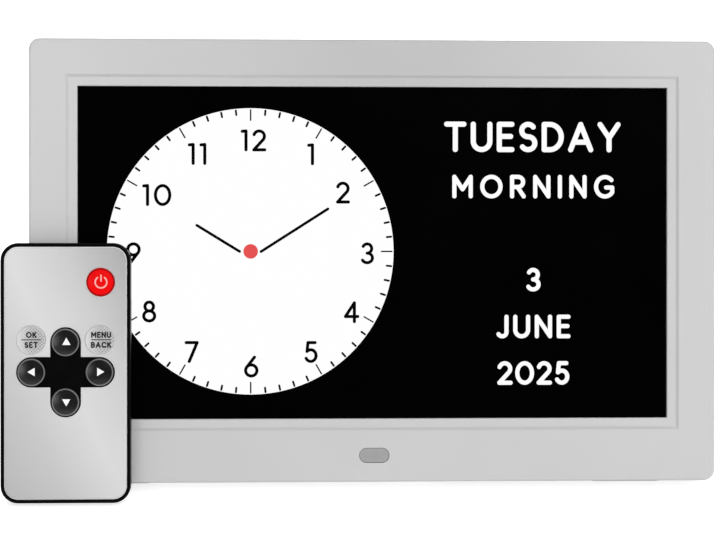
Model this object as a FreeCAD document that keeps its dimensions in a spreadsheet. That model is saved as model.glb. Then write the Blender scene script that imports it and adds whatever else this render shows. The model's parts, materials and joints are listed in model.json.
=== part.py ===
import FreeCAD, Part
import math
import os
import Sketcher

# A day clock with a screen, leaning back on a folding leg, and its slim remote control,
# which stands on the same table and leans on the clock's left side.
#
# Three frames are used. Each has x to the right, y to the rear and z up its own face:
#   clock   x = 0 at the middle of the case, y = 0 on the bezel's face, z = 0 on its lower edge
#   remote  x = 0 at its middle, y = 0 on its back, z = 0 on its lower end
#   leg     its hinge pin is the origin, and the leg hangs along -z
# The world's origin is the middle of the underside of the box round the whole object.

SIZES = (
    # the case
    ("side_border", 14.35, "lit area to the case's sides"),
    ("top_border", 14.15, "lit area to the case's upper edge"),
    ("bottom_border", 18.95, "lit area to the case's lower edge"),
    ("case_depth", 20.0, "bezel face to back"),
    ("case_corner", 3.2, "corner radius seen from the front"),
    ("front_edge", 0.9, "rounding round the bezel's face"),
    ("rear_edge", 1.5, "rounding round the back"),
    ("bezel_depth", 9.0, "bezel face to the parting line"),
    ("seam_bevel", 0.25, "bevels that meet in a groove at the parting line"),
    ("side_wall", 2.2, "side walls of both shells"),
    ("front_wall", 2.4, "bezel's front wall"),
    ("back_wall", 2.0, "cover's back wall"),
    ("lip_height", 1.2, "cover's lip inside the bezel"),
    ("lip_thickness", 1.0, "cover's lip"),
    ("fit_gap", 0.15, "gap between pieces that slip together"),
    ("lean_angle", 14.0, "degrees that the clock leans back"),
    # the window
    ("screen_width", 177.1, "lit area of the screen"),
    ("screen_height", 99.5, "lit area of the screen"),
    ("ledge_width", 2.65, "sunk ledge round the window"),
    ("ledge_depth", 0.85, "sunk ledge below the bezel's face"),
    ("ledge_bevel", 0.75, "width of the ledge's sloping wall"),
    ("window_edge", 0.3, "rounding round the window"),
    # the screen module
    ("panel_margin", 3.0, "glass beyond the lit area"),
    ("panel_chin", 6.0, "glass beyond the lit area below, with the drivers"),
    ("panel_thickness", 1.2, "two glasses and their films"),
    ("guide_thickness", 2.6, "light guide"),
    ("frame_sheet", 0.4, "sheet of the steel frame"),
    ("flex_width", 32.0, "screen's flat cable"),
    ("flex_inset", 22.0, "flat cable's middle from the main board's left edge"),
    ("flex_thickness", 0.3, "screen's flat cable"),
    ("flex_reach", 1.4, "flat cable's loop below the frame"),
    ("clamp_thickness", 0.6, "steel clamps that hold the screen"),
    ("clamp_height", 9.0, "steel clamps"),
    ("clamp_offset", 38.0, "clamps above and below the screen's middle"),
    ("clamp_post", 5.0, "diameter of the clamp's post"),
    ("rib_offset", 12.7, "locating ribs above and below the screen's middle"),
    # infra-red receiver
    ("ir_width", 9.1, "receiver window"),
    ("ir_height", 4.5, "receiver window"),
    ("ir_rise", 8.0, "receiver window's middle above the case's lower edge"),
    ("ir_sunk", 0.15, "receiver window below the bezel's face"),
    ("ir_round", 0.3, "rounding round the receiver window"),
    ("ir_flange", 1.0, "flange behind the receiver window"),
    ("ir_board_width", 26.0, "receiver's board"),
    ("ir_board_height", 7.6, "receiver's board"),
    ("ir_post_spread", 10.0, "receiver board's posts from its middle"),
    ("receiver_size", 6.0, "receiver's body"),
    ("receiver_depth", 2.6, "receiver's body"),
    ("receiver_dome", 1.6, "radius of the receiver's lens"),
    # boards
    ("board_thickness", 1.6, "main board and key board"),
    ("thin_board", 1.0, "receiver's and remote's boards"),
    ("board_front", 9.6, "main board's front face from the bezel's face"),
    ("board_gap", 2.7, "main board to the right side wall"),
    ("board_width", 74.0, "main board"),
    ("board_bottom", 17.0, "main board's lower edge"),
    ("board_height", 70.0, "main board"),
    ("board_inset", 4.5, "main board's screws from its edges"),
    ("chip_size", 13.0, "processor"),
    ("chip_inset", 31.0, "processor's middle from the main board's left edge"),
    ("chip_rise", 19.6, "processor's middle above the main board's lower edge"),
    ("memory_rise", 35.0, "memory chip's middle above the main board's lower edge"),
    ("chip_height", 1.4, "processor"),
    ("cell_width", 20.0, "backup cell"),
    ("cell_height", 3.2, "backup cell"),
    ("holder_floor", 0.7, "backup cell's holder"),
    ("holder_wall", 1.5, "backup cell's holder"),
    ("holder_rim", 2.2, "rim of the backup cell's holder above its floor"),
    ("plug_length", 10.0, "lead sockets on the main board"),
    ("plug_width", 4.4, "lead sockets on the main board"),
    ("plug_height", 3.0, "lead sockets on the main board"),
    # sockets in the right side
    ("jack_gap", 1.0, "power jack above the main board's lower screw post"),
    ("jack_width", 9.0, "power jack"),
    ("jack_height", 6.3, "power jack"),
    ("jack_bore", 5.6, "power jack's hole"),
    ("jack_pin", 2.0, "power jack's pin"),
    ("socket_gap", 2.7, "between neighbouring sockets"),
    ("usb_width", 13.1, "USB socket's shell"),
    ("usb_height", 5.7, "USB socket's shell"),
    ("usb_sheet", 0.35, "USB socket's shell"),
    ("usb_tongue", 1.8, "USB socket's tongue"),
    ("usb_tongue_width", 11.0, "USB socket's tongue"),
    ("card_width", 26.0, "card socket"),
    ("card_height", 2.9, "card socket"),
    ("card_slot", 24.4, "card socket's slot"),
    ("card_gap", 2.3, "card socket's slot"),
    ("socket_length", 13.0, "sockets, back from the side wall"),
    ("port_gap", 0.25, "gap round a socket in the side wall"),
    # speaker
    ("speaker_width", 28.0, "speaker's rim"),
    ("speaker_depth", 5.4, "speaker's rim to the back of its magnet"),
    ("speaker_rim", 1.0, "speaker's rim, thickness"),
    ("magnet_width", 15.0, "speaker's magnet"),
    ("magnet_depth", 2.8, "speaker's magnet"),
    ("cone_sheet", 0.4, "speaker's cone"),
    ("cone_depth", 1.9, "speaker's cone"),
    ("speaker_inset", 40.9, "speaker's middle from the case's left side"),
    ("speaker_rise", 31.0, "speaker's middle above the case's lower edge"),
    ("grille_hole", 2.0, "grille's holes"),
    ("grille_pitch", 4.0, "grille's rings of holes"),
    # keys on the back
    ("key_width", 6.4, "key's cap"),
    ("key_flange", 1.3, "key's flange beyond its cap"),
    ("key_flange_sheet", 1.0, "key's flange, thickness"),
    ("key_proud", 0.9, "key's cap out of the back"),
    ("key_crown", 0.3, "how far the cap's middle stands above its edge"),
    ("key_gap", 0.3, "gap round the cap"),
    ("key_travel", 0.4, "how far a key goes in"),
    ("key_slack", 0.05, "gap left when a key is pushed home"),
    ("key_pitch", 12.5, "from key to key"),
    ("key_inset", 16.2, "last key to the inside of the right side wall"),
    ("key_drop", 15.6, "keys below the case's upper edge"),
    ("switch_size", 6.0, "push switch"),
    ("switch_height", 2.1, "push switch's body"),
    ("switch_button", 3.4, "push switch's plunger"),
    ("key_board_front", 11.7, "key board's front face from the bezel's face"),
    ("key_board_height", 9.0, "key board"),
    ("key_board_margin", 10.0, "key board beyond the first and last keys"),
    ("key_post_inset", 2.6, "key board's posts from its ends"),
    # fasteners
    ("post_width", 6.0, "bezel's screw posts"),
    ("post_rim", 1.2, "how much wider the boards' posts are than their screws' heads"),
    ("case_screw_side", 7.6, "case screws from the case's sides"),
    ("case_screw_inset", 6.6, "case screws from the case's upper and lower edges"),
    ("case_screw_shank", 2.6, "case screws"),
    ("case_screw_head", 5.0, "case screws' heads"),
    ("case_screw_head_height", 1.9, "case screws' heads"),
    ("case_screw_bite", 5.2, "case screws' thread in the bezel"),
    ("screw_seat", 12.0, "case screws' seat from the bezel's face"),
    ("small_shank", 2.0, "board and clamp screws"),
    ("small_head", 3.8, "board and clamp screws' heads"),
    ("small_head_height", 1.3, "board and clamp screws' heads"),
    ("small_bite", 3.2, "board and clamp screws' thread"),
    ("thread_gap", 0.02, "between a thread and its hole"),
    ("hole_gap", 0.3, "between a shank and a through hole"),
    ("head_chamfer", 0.45, "screw heads"),
    ("drive_width", 0.5, "cross recess in a screw's head"),
    ("drive_depth", 0.8, "cross recess in a screw's head"),
    # holes in the back
    ("vent_width", 1.6, "cooling slots"),
    ("vent_height", 15.0, "cooling slots"),
    ("vent_pitch", 4.4, "cooling slots"),
    ("vent_drop", 34.6, "cooling slots' middle below the case's upper edge"),
    ("hanger_inset", 40.9, "keyholes from the case's sides"),
    ("hanger_drop", 33.6, "keyhole's round entry below the case's upper edge"),
    ("hanger_entry", 8.5, "keyhole's round entry"),
    ("hanger_neck", 4.2, "keyhole's slot"),
    ("hanger_slide", 8.0, "from the keyhole's entry to the end of its slot"),
    # leg
    ("leg_width", 34.0, "leg"),
    ("leg_thickness", 4.0, "leg"),
    ("leg_open_angle", 23.0, "degrees from the back when it is open"),
    ("leg_wall", 1.6, "leg's ribs and skin"),
    ("leg_taper", 3.0, "how much narrower each side is at the foot"),
    ("hinge_rise", 69.0, "leg's hinge above the case's lower edge"),
    ("pin_width", 2.5, "leg's hinge pin"),
    ("pin_gap", 0.05, "hinge pin's running gap"),
    ("pin_chamfer", 0.3, "hinge pin's ends"),
    ("pin_seat", 3.0, "hinge pin in each cheek of the cover"),
    ("stop_tab", 3.0, "leg beyond its pin, which stops it when open"),
    ("leg_gap", 0.2, "leg above the floor of its recess"),
    ("leg_side_gap", 0.5, "leg to the sides of its recess"),
    ("recess_wall", 1.6, "walls round the leg's recess"),
    ("foot_sheet", 1.5, "rubber on the leg's foot"),
    # rubber feet
    ("foot_inset", 24.9, "feet's middles from the case's sides"),
    ("foot_length", 20.0, "feet"),
    ("foot_front", 14.4, "front of the feet from the bezel's face"),
    ("foot_back", 18.2, "back of the feet from the bezel's face"),
    ("foot_seat", 0.8, "how deep the feet sit in the cover"),
    # wires
    ("wire_width", 1.5, "leads inside the case"),
    ("wire_front", 12.4, "leads' middle from the bezel's face"),
    ("wire_bend", 5.0, "bends of the leads"),
    ("ir_wire_start", 12.2, "receiver's lead, right of the case's middle"),
    ("ir_wire_end", 3.0, "receiver's lead from the main board's left edge"),
    # remote control
    ("remote_width", 38.24, "outside"),
    ("remote_height", 76.74, "outside"),
    ("remote_depth", 6.8, "outside, without its keys"),
    ("remote_corner", 5.2, "corner radius"),
    ("remote_edge", 0.6, "rounding round its back and front"),
    ("remote_wall", 1.2, "side walls and back"),
    ("remote_part", 2.6, "parting line from the back"),
    ("remote_rim", 1.0, "black rim round the face plate"),
    ("remote_inset", 11.4, "its middle, inside the case's left side"),
    ("remote_drop", 5.21, "its lower end below the bezel's lower edge"),
    ("remote_gap", 0.3, "its back to the bezel"),
    ("plate_sheet", 0.4, "silver face plate"),
    ("plate_sunk", 0.1, "face plate below the rim"),
    ("plate_gap", 0.1, "gap round the face plate"),
    ("deck_sheet", 1.0, "wall under the face plate"),
    ("cross_rise", 38.65, "middle of the arrow keys"),
    ("cross_reach_x", 10.0, "arrow keys left and right of that middle"),
    ("cross_reach_z", 8.8, "arrow keys above and below that middle"),
    ("cross_width", 8.8, "arms of the black cross"),
    ("cross_proud", 0.05, "cross above the face plate"),
    ("power_x", 10.3, "power key, right of the middle"),
    ("power_drop", 11.54, "power key below the upper end"),
    ("side_key_x", 10.05, "OK and menu keys from the middle"),
    ("side_key_lift", 9.55, "OK and menu keys above the arrow keys' middle"),
    ("small_key_width", 8.2, "remote's keys"),
    ("small_key_gap", 0.15, "gap round them"),
    ("small_key_proud", 0.5, "their edge out of the rim"),
    ("small_key_crown", 0.35, "their middle above their edge"),
    ("small_key_flange", 0.55, "their flange beyond the cap"),
    ("small_key_flange_sheet", 0.5, "their flange"),
    ("small_key_stem", 3.0, "their stem"),
    ("small_key_travel", 0.3, "how far they go in"),
    ("dome_width", 5.0, "metal domes"),
    ("dome_height", 0.35, "metal domes"),
    ("dome_bevel", 0.25, "metal domes' sloping edge"),
    ("tray_width", 24.6, "battery tray"),
    ("tray_length", 25.0, "battery tray"),
    ("tray_sheet", 2.55, "battery tray"),
    ("tray_back", 0.8, "wall behind the tray"),
    ("tray_sunk", 0.5, "tray's end inside the remote's end"),
    ("tray_gap", 0.15, "gap round the tray"),
    ("tray_rail", 1.4, "rails beside the tray"),
    ("tray_groove", 0.75, "grip grooves at the tray's end"),
    ("coin_width", 20.0, "remote's coin cell"),
    ("coin_height", 2.3, "remote's coin cell"),
    ("coin_rise", 12.6, "coin cell's middle above the tray's end"),
    ("remote_board_low", 27.0, "remote's board above the lower end"),
    ("remote_board_drop", 7.24, "remote's board below the upper end"),
    ("led_width", 3.0, "infra-red lamp"),
    ("led_length", 5.2, "infra-red lamp"),
    ("contact_sheet", 0.2, "battery contacts"),
    ("contact_width", 3.0, "battery contacts"),
    ("contact_reach", 9.0, "battery contacts over the cell"),
)

# how many of each there are
COUNTS = (
    ("rear_keys", 6, "keys on the back"),
    ("vent_slots", 11, "cooling slots"),
    ("grille_rings", 3, "rings of holes round the grille's middle hole"),
    ("leg_ribs", 3, "ribs across the leg"),
    ("tray_grooves", 2, "grip grooves in the tray"),
)

REAR_KEYS = ("right", "down", "up", "left", "menu", "power")

doc = FreeCAD.newDocument("day_clock")
sheet = doc.addObject("Spreadsheet::Sheet", "sizes")
places = doc.addObject("App::VarSet", "places")


class Size:
    """A number and the formula that gives it from the sheet; sums and shares of sizes are sizes."""

    def __init__(self, value, formula):
        self.value = value
        self.formula = formula

    def __add__(self, other):
        return joined(self, "+", other)

    def __radd__(self, other):
        return joined(other, "+", self)

    def __sub__(self, other):
        return joined(self, "-", other)

    def __rsub__(self, other):
        return joined(other, "-", self)

    def __mul__(self, other):
        return joined(self, "*", other)

    def __rmul__(self, other):
        return joined(other, "*", self)

    def __truediv__(self, other):
        return joined(self, "/", other)

    def __neg__(self):
        return joined(0, "-", self)


def number(size):
    return size.value if isinstance(size, Size) else float(size)


def formula(size):
    return size.formula if isinstance(size, Size) else repr(float(size))


def joined(left, sign, right):
    a, b = number(left), number(right)
    value = {"+": a + b, "-": a - b, "*": a * b, "/": a / b if b else 0.0}[sign]
    return Size(value, f"({formula(left)} {sign} {formula(right)})")


def sine(degrees):
    return Size(math.sin(math.radians(number(degrees))), f"sin({formula(degrees)} * 1 deg)")


def cosine(degrees):
    return Size(math.cos(math.radians(number(degrees))), f"cos({formula(degrees)} * 1 deg)")


def larger(first, second):
    return Size(max(number(first), number(second)), f"max({formula(first)}; {formula(second)})")


class Sheet:
    """The driving sizes by name, as Size objects that read the sheet."""

    def __init__(self, rows):
        for row, (name, value, meaning) in enumerate(rows, 1):
            sheet.set(f"A{row}", name)
            sheet.set(f"B{row}", str(value))
            sheet.set(f"C{row}", meaning)
            sheet.setAlias(f"B{row}", name)
        doc.recompute()
        for name, _, _ in rows:
            setattr(self, name, Size(float(sheet.get(name)), f"sizes.{name}"))


s = Sheet(SIZES + COUNTS)


def place(name, size):
    """A worked-out value that several pieces share, kept under its own name."""
    places.addProperty("App::PropertyFloat", name)
    places.setExpression(name, formula(size))
    return Size(number(size), f"places.{name}")


# ---------------------------------------------------------------- shared places, clock frame
case_width = place("case_width", s.screen_width + 2 * s.side_border)
case_height = place("case_height", s.bottom_border + s.screen_height + s.top_border)
half_width = place("half_width", case_width / 2)
inner_half_width = place("inner_half_width", half_width - s.side_wall)
inner_low = s.side_wall
inner_high = place("inner_high", case_height - s.side_wall)
half_screen = place("half_screen", s.screen_width / 2)
screen_low = s.bottom_border
screen_high = place("screen_high", screen_low + s.screen_height)
screen_middle = place("screen_middle", (screen_low + screen_high) / 2)
half_panel = place("half_panel", half_screen + s.panel_margin)
panel_low = place("panel_low", screen_low - s.panel_chin)
panel_high = place("panel_high", screen_high + s.panel_margin)
panel_back = place("panel_back", s.front_wall + s.panel_thickness)
guide_back = place("guide_back", panel_back + s.guide_thickness)
frame_back = place("frame_back", guide_back + s.frame_sheet)
half_frame = place("half_frame", half_panel + s.fit_gap + s.frame_sheet)
frame_low = place("frame_low", panel_low - s.fit_gap - s.frame_sheet)
frame_high = place("frame_high", panel_high + s.fit_gap + s.frame_sheet)
inner_back = place("inner_back", s.case_depth - s.back_wall)
clamp_x = place("clamp_x", (half_frame + inner_half_width) / 2)
screw_low = s.case_screw_inset
screw_high = place("screw_high", case_height - s.case_screw_inset)

board_back = place("board_back", s.board_front + s.board_thickness)
board_right = place("board_right", inner_half_width - s.board_gap)
board_left = place("board_left", board_right - s.board_width)
flex_x = place("flex_x", board_left + s.flex_inset)
board_high = place("board_high", s.board_bottom + s.board_height)
ir_board_front = place("ir_board_front", s.front_wall + s.ir_flange + s.fit_gap
                       + s.receiver_dome + s.receiver_depth)
key_board_back = place("key_board_back", s.key_board_front + s.board_thickness)
key_flange_front = place("key_flange_front", inner_back - s.key_slack - s.key_flange_sheet)
switch_top = place("switch_top", key_flange_front - s.key_travel - s.key_slack)
key_last = place("key_last", inner_half_width - s.key_inset)
key_first = place("key_first", key_last - (s.rear_keys - 1) * s.key_pitch)
key_rise = place("key_rise", case_height - s.key_drop)
vent_rise = place("vent_rise", case_height - s.vent_drop)
hanger_rise = place("hanger_rise", case_height - s.hanger_drop)
hanger_spread = place("hanger_spread", half_width - s.hanger_inset)
case_screw_x = place("case_screw_x", half_width - s.case_screw_side)
foot_spread = place("foot_spread", half_width - s.foot_inset)

hinge_y = place("hinge_y", s.case_depth - s.leg_thickness / 2 - s.leg_gap * 2)
recess_floor = place("recess_floor", hinge_y - s.leg_thickness / 2 - s.leg_gap)
half_recess = place("half_recess", s.leg_width / 2 + s.leg_side_gap)
recess_high = place("recess_high", s.hinge_rise + s.stop_tab + s.leg_thickness / 2)
leg_turn = place("leg_turn", s.leg_open_angle - s.lean_angle)
open_sine = place("open_sine", sine(s.leg_open_angle))
open_cosine = place("open_cosine", cosine(s.leg_open_angle))
foot_sine = place("foot_sine", sine(leg_turn))
foot_cosine = place("foot_cosine", cosine(leg_turn))

ir_reach = place("ir_reach", (s.ir_width - s.ir_height) / 2)
socket_left = place("socket_left", inner_half_width - s.socket_length)
jack_y = place("jack_y", board_back + s.jack_height / 2)
usb_y = place("usb_y", board_back + s.usb_height / 2)
card_y = place("card_y", board_back + s.card_height / 2)
small_post = place("small_post", s.small_head + s.post_rim)
board_post_top = s.board_bottom + s.board_inset + small_post / 2
jack_rise = place("jack_rise", board_post_top + s.jack_gap + s.jack_width / 2)
usb_rise = place("usb_rise", jack_rise + s.jack_width / 2 + s.socket_gap + s.usb_width / 2)
card_rise = place("card_rise", usb_rise + s.usb_width / 2 + s.socket_gap + s.card_width / 2)
speaker_front = place("speaker_front", inner_back - s.speaker_depth)
speaker_left = place("speaker_left", half_width - s.speaker_inset)
holder_width = place("holder_width", s.cell_width + 2 * (s.holder_wall + s.fit_gap))
backup_x = place("backup_x", board_left + s.board_inset + holder_width / 2)
backup_z = place("backup_z", board_high - s.board_inset - holder_width / 2)
speaker_plug_z = place("speaker_plug_z", s.board_bottom + 2 * s.board_inset + s.plug_length / 2)
key_plug_z = place("key_plug_z", s.board_bottom + s.board_height / 2)

# remote frame
half_remote = place("half_remote", s.remote_width / 2)
remote_left = place("remote_left", half_width - s.remote_inset)
power_rise = place("power_rise", s.remote_height - s.power_drop)
side_key_rise = place("side_key_rise", s.cross_rise + s.side_key_lift)
remote_board_high = place("remote_board_high", s.remote_height - s.remote_board_drop)
remote_front = place("remote_front", -s.remote_depth)
remote_split = place("remote_split", -s.remote_part)
plate_front = place("plate_front", remote_front + s.plate_sunk)
plate_back = place("plate_back", plate_front + s.plate_sheet)
deck_back = place("deck_back", plate_back + s.deck_sheet)
small_flange_front = place("small_flange_front", deck_back + s.key_slack)
small_flange_back = place("small_flange_back", small_flange_front + s.small_key_flange_sheet)
remote_board_back = place("remote_board_back", remote_split)
remote_board_front = place("remote_board_front", remote_board_back - s.thin_board)
stem_back = place("stem_back", remote_board_front - s.dome_height - s.small_key_travel - s.key_slack)
led_y = place("led_y", (deck_back - s.remote_wall) / 2)
half_tray = place("half_tray", s.tray_width / 2)
tray_rear = place("tray_rear", -s.tray_back - s.tray_gap)
tray_front = place("tray_front", tray_rear - s.tray_sheet)


# ---------------------------------------------------------------- frames in the world
lean_sine = place("lean_sine", sine(s.lean_angle))
lean_cosine = place("lean_cosine", cosine(s.lean_angle))


def leaned_y(y, z):
    return y * lean_cosine + z * lean_sine


def leaned_z(y, z):
    return z * lean_cosine - y * lean_sine


# the remote's lower rear edge rests on the table, which sets the height of the clock's frame
edge_y = place("edge_y", -s.remote_gap - s.remote_edge)
edge_z = place("edge_z", s.remote_edge - s.remote_drop)
clock_rise = place("clock_rise", s.remote_edge - leaned_z(edge_y, edge_z))

# box round the whole object, from the rounded edges that reach furthest
box_left = place("box_left", -remote_left - half_remote)
box_right = half_width
remote_nose_y = -s.remote_gap - s.remote_depth + s.remote_edge
box_front = place("box_front", leaned_y(remote_nose_y, edge_z) - s.remote_edge)
cover_edge_y = s.case_depth - s.rear_edge
cover_edge_z = case_height - s.rear_edge
box_back = place("box_back", leaned_y(cover_edge_y, cover_edge_z) + s.rear_edge)
shift_x = place("shift_x", -(box_left + box_right) / 2)
shift_y = place("shift_y", -(box_front + box_back) / 2)


class Frame:
    """Where a group of pieces stands: its origin in the world and its tilt about x, in degrees."""

    def __init__(self, name, x, y, z, tilt):
        self.x = place(name + "_x", x)
        self.y = place(name + "_y", y)
        self.z = place(name + "_z", z)
        self.tilt = place(name + "_tilt", tilt)


def frame_on_clock(name, x, y, z, turn=0.0):
    """A frame at a point of the clock's own frame, turned about x from it."""
    world_y = shift_y + leaned_y(y, z)
    world_z = clock_rise + leaned_z(y, z)
    return Frame(name, shift_x + x, world_y, world_z, turn - s.lean_angle)


CLOCK = frame_on_clock("clock", 0.0, 0.0, 0.0)
REMOTE = frame_on_clock("remote", -remote_left, -s.remote_gap, -s.remote_drop)
LEG = frame_on_clock("leg", 0.0, hinge_y, s.hinge_rise, s.leg_open_angle)
doc.recompute()

# ---------------------------------------------------------------- outlines for sketches
FIXED = Sketcher.Constraint


def hold(sketch, kind, args, size):
    """Adds a constraint whose value follows a size."""
    index = sketch.addConstraint(FIXED(kind, *args, number(size)))
    sketch.setExpression(f"Constraints[{index}]", formula(size))


def hold_point(sketch, geometry, point, u, v):
    hold(sketch, "DistanceX", (-1, 1, geometry, point), u)
    hold(sketch, "DistanceY", (-1, 1, geometry, point), v)


def polygon(*points):
    """A closed outline with straight sides through the given points."""

    def draw(sketch):
        corners = [FreeCAD.Vector(number(u), number(v), 0) for u, v in points]
        after = corners[1:] + corners[:1]
        lines = sketch.addGeometry([Part.LineSegment(a, b) for a, b in zip(corners, after)], False)
        following = lines[1:] + lines[:1]
        for line, next_line in zip(lines, following):
            sketch.addConstraint(FIXED("Coincident", line, 2, next_line, 1))
        for line, (u, v) in zip(lines, points):
            hold_point(sketch, line, 1, u, v)

    return draw


def box(u0, v0, u1, v1):
    return polygon((u0, v0), (u1, v0), (u1, v1), (u0, v1))


def rounded(u0, v0, u1, v1, radius):
    """A box with rounded corners."""

    def draw(sketch):
        left, low, right, high, r = (number(x) for x in (u0, v0, u1, v1, radius))
        ends = (((left + r, low), (right - r, low)), ((right, low + r), (right, high - r)),
                ((right - r, high), (left + r, high)), ((left, high - r), (left, low + r)))
        centres = ((right - r, low + r, -90), (right - r, high - r, 0),
                   (left + r, high - r, 90), (left + r, low + r, 180))
        sides = [Part.LineSegment(FreeCAD.Vector(*a, 0), FreeCAD.Vector(*b, 0)) for a, b in ends]
        bends = [arc(x, y, r, start, start + 90) for x, y, start in centres]
        lines = sketch.addGeometry(sides, False)
        arcs = sketch.addGeometry(bends, False)
        for k in range(4):
            sketch.addConstraint(FIXED("Tangent", lines[k], 2, arcs[k], 1))
            sketch.addConstraint(FIXED("Tangent", arcs[k], 2, lines[(k + 1) % 4], 1))
            sketch.addConstraint(FIXED("Vertical" if k % 2 else "Horizontal", lines[k]))
        for other in arcs[1:]:
            sketch.addConstraint(FIXED("Equal", arcs[0], other))
        hold(sketch, "Radius", (arcs[0],), radius)
        hold(sketch, "DistanceX", (-1, 1, lines[3], 1), u0)
        hold(sketch, "DistanceY", (-1, 1, lines[0], 1), v0)
        hold(sketch, "DistanceX", (-1, 1, lines[1], 1), u1)
        hold(sketch, "DistanceY", (-1, 1, lines[2], 1), v1)

    return draw


def arc(x, y, radius, start, end):
    circle_line = Part.Circle(FreeCAD.Vector(x, y, 0), FreeCAD.Vector(0, 0, 1), radius)
    return Part.ArcOfCircle(circle_line, math.radians(start), math.radians(end))


def circle(u, v, width):
    """A full circle of the given diameter."""

    def draw(sketch):
        centre = FreeCAD.Vector(number(u), number(v), 0)
        line = Part.Circle(centre, FreeCAD.Vector(0, 0, 1), number(width) / 2)
        index = sketch.addGeometry(line, False)
        hold(sketch, "Diameter", (index,), width)
        hold_point(sketch, index, 3, u, v)

    return draw


def pill(u0, v0, u1, v1, width):
    """Two half circles of the given diameter, centred on two points, and the straight sides."""

    def draw(sketch):
        x0, y0, x1, y1 = (number(x) for x in (u0, v0, u1, v1))
        r = number(width) / 2
        along = math.degrees(math.atan2(y1 - y0, x1 - x0))
        nx, ny = -math.sin(math.radians(along)) * r, math.cos(math.radians(along)) * r
        first, last = sketch.addGeometry([arc(x0, y0, r, along + 90, along + 270),
                                          arc(x1, y1, r, along - 90, along + 90)], False)
        low = Part.LineSegment(FreeCAD.Vector(x0 - nx, y0 - ny, 0), FreeCAD.Vector(x1 - nx, y1 - ny, 0))
        high = Part.LineSegment(FreeCAD.Vector(x1 + nx, y1 + ny, 0), FreeCAD.Vector(x0 + nx, y0 + ny, 0))
        lower, upper = sketch.addGeometry([low, high], False)
        for a, b in ((first, lower), (lower, last), (last, upper), (upper, first)):
            sketch.addConstraint(FIXED("Tangent", a, 2, b, 1))
        sketch.addConstraint(FIXED("Equal", first, last))
        hold(sketch, "Diameter", (first,), width)
        hold_point(sketch, first, 3, u0, v0)
        hold_point(sketch, last, 3, u1, v1)

    return draw


def cross(u, v, width, arm):
    """A plus sign: arms of the given width across a circle of the given diameter."""
    a, b = width / 2, arm / 2
    return polygon((u - b, v - a), (u - a, v - a), (u - a, v - b), (u + a, v - b), (u + a, v - a),
                   (u + b, v - a), (u + b, v + a), (u + a, v + a), (u + a, v + b), (u - a, v + b),
                   (u - a, v + a), (u - b, v + a))


# ---------------------------------------------------------------- pieces
# plane: (role of the body's origin plane, sign of its normal along the axis that it looks down)
PLANES = {"front": ("XZ_Plane", -1), "side": ("YZ_Plane", 1), "top": ("XY_Plane", 1)}
pieces = []


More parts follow.
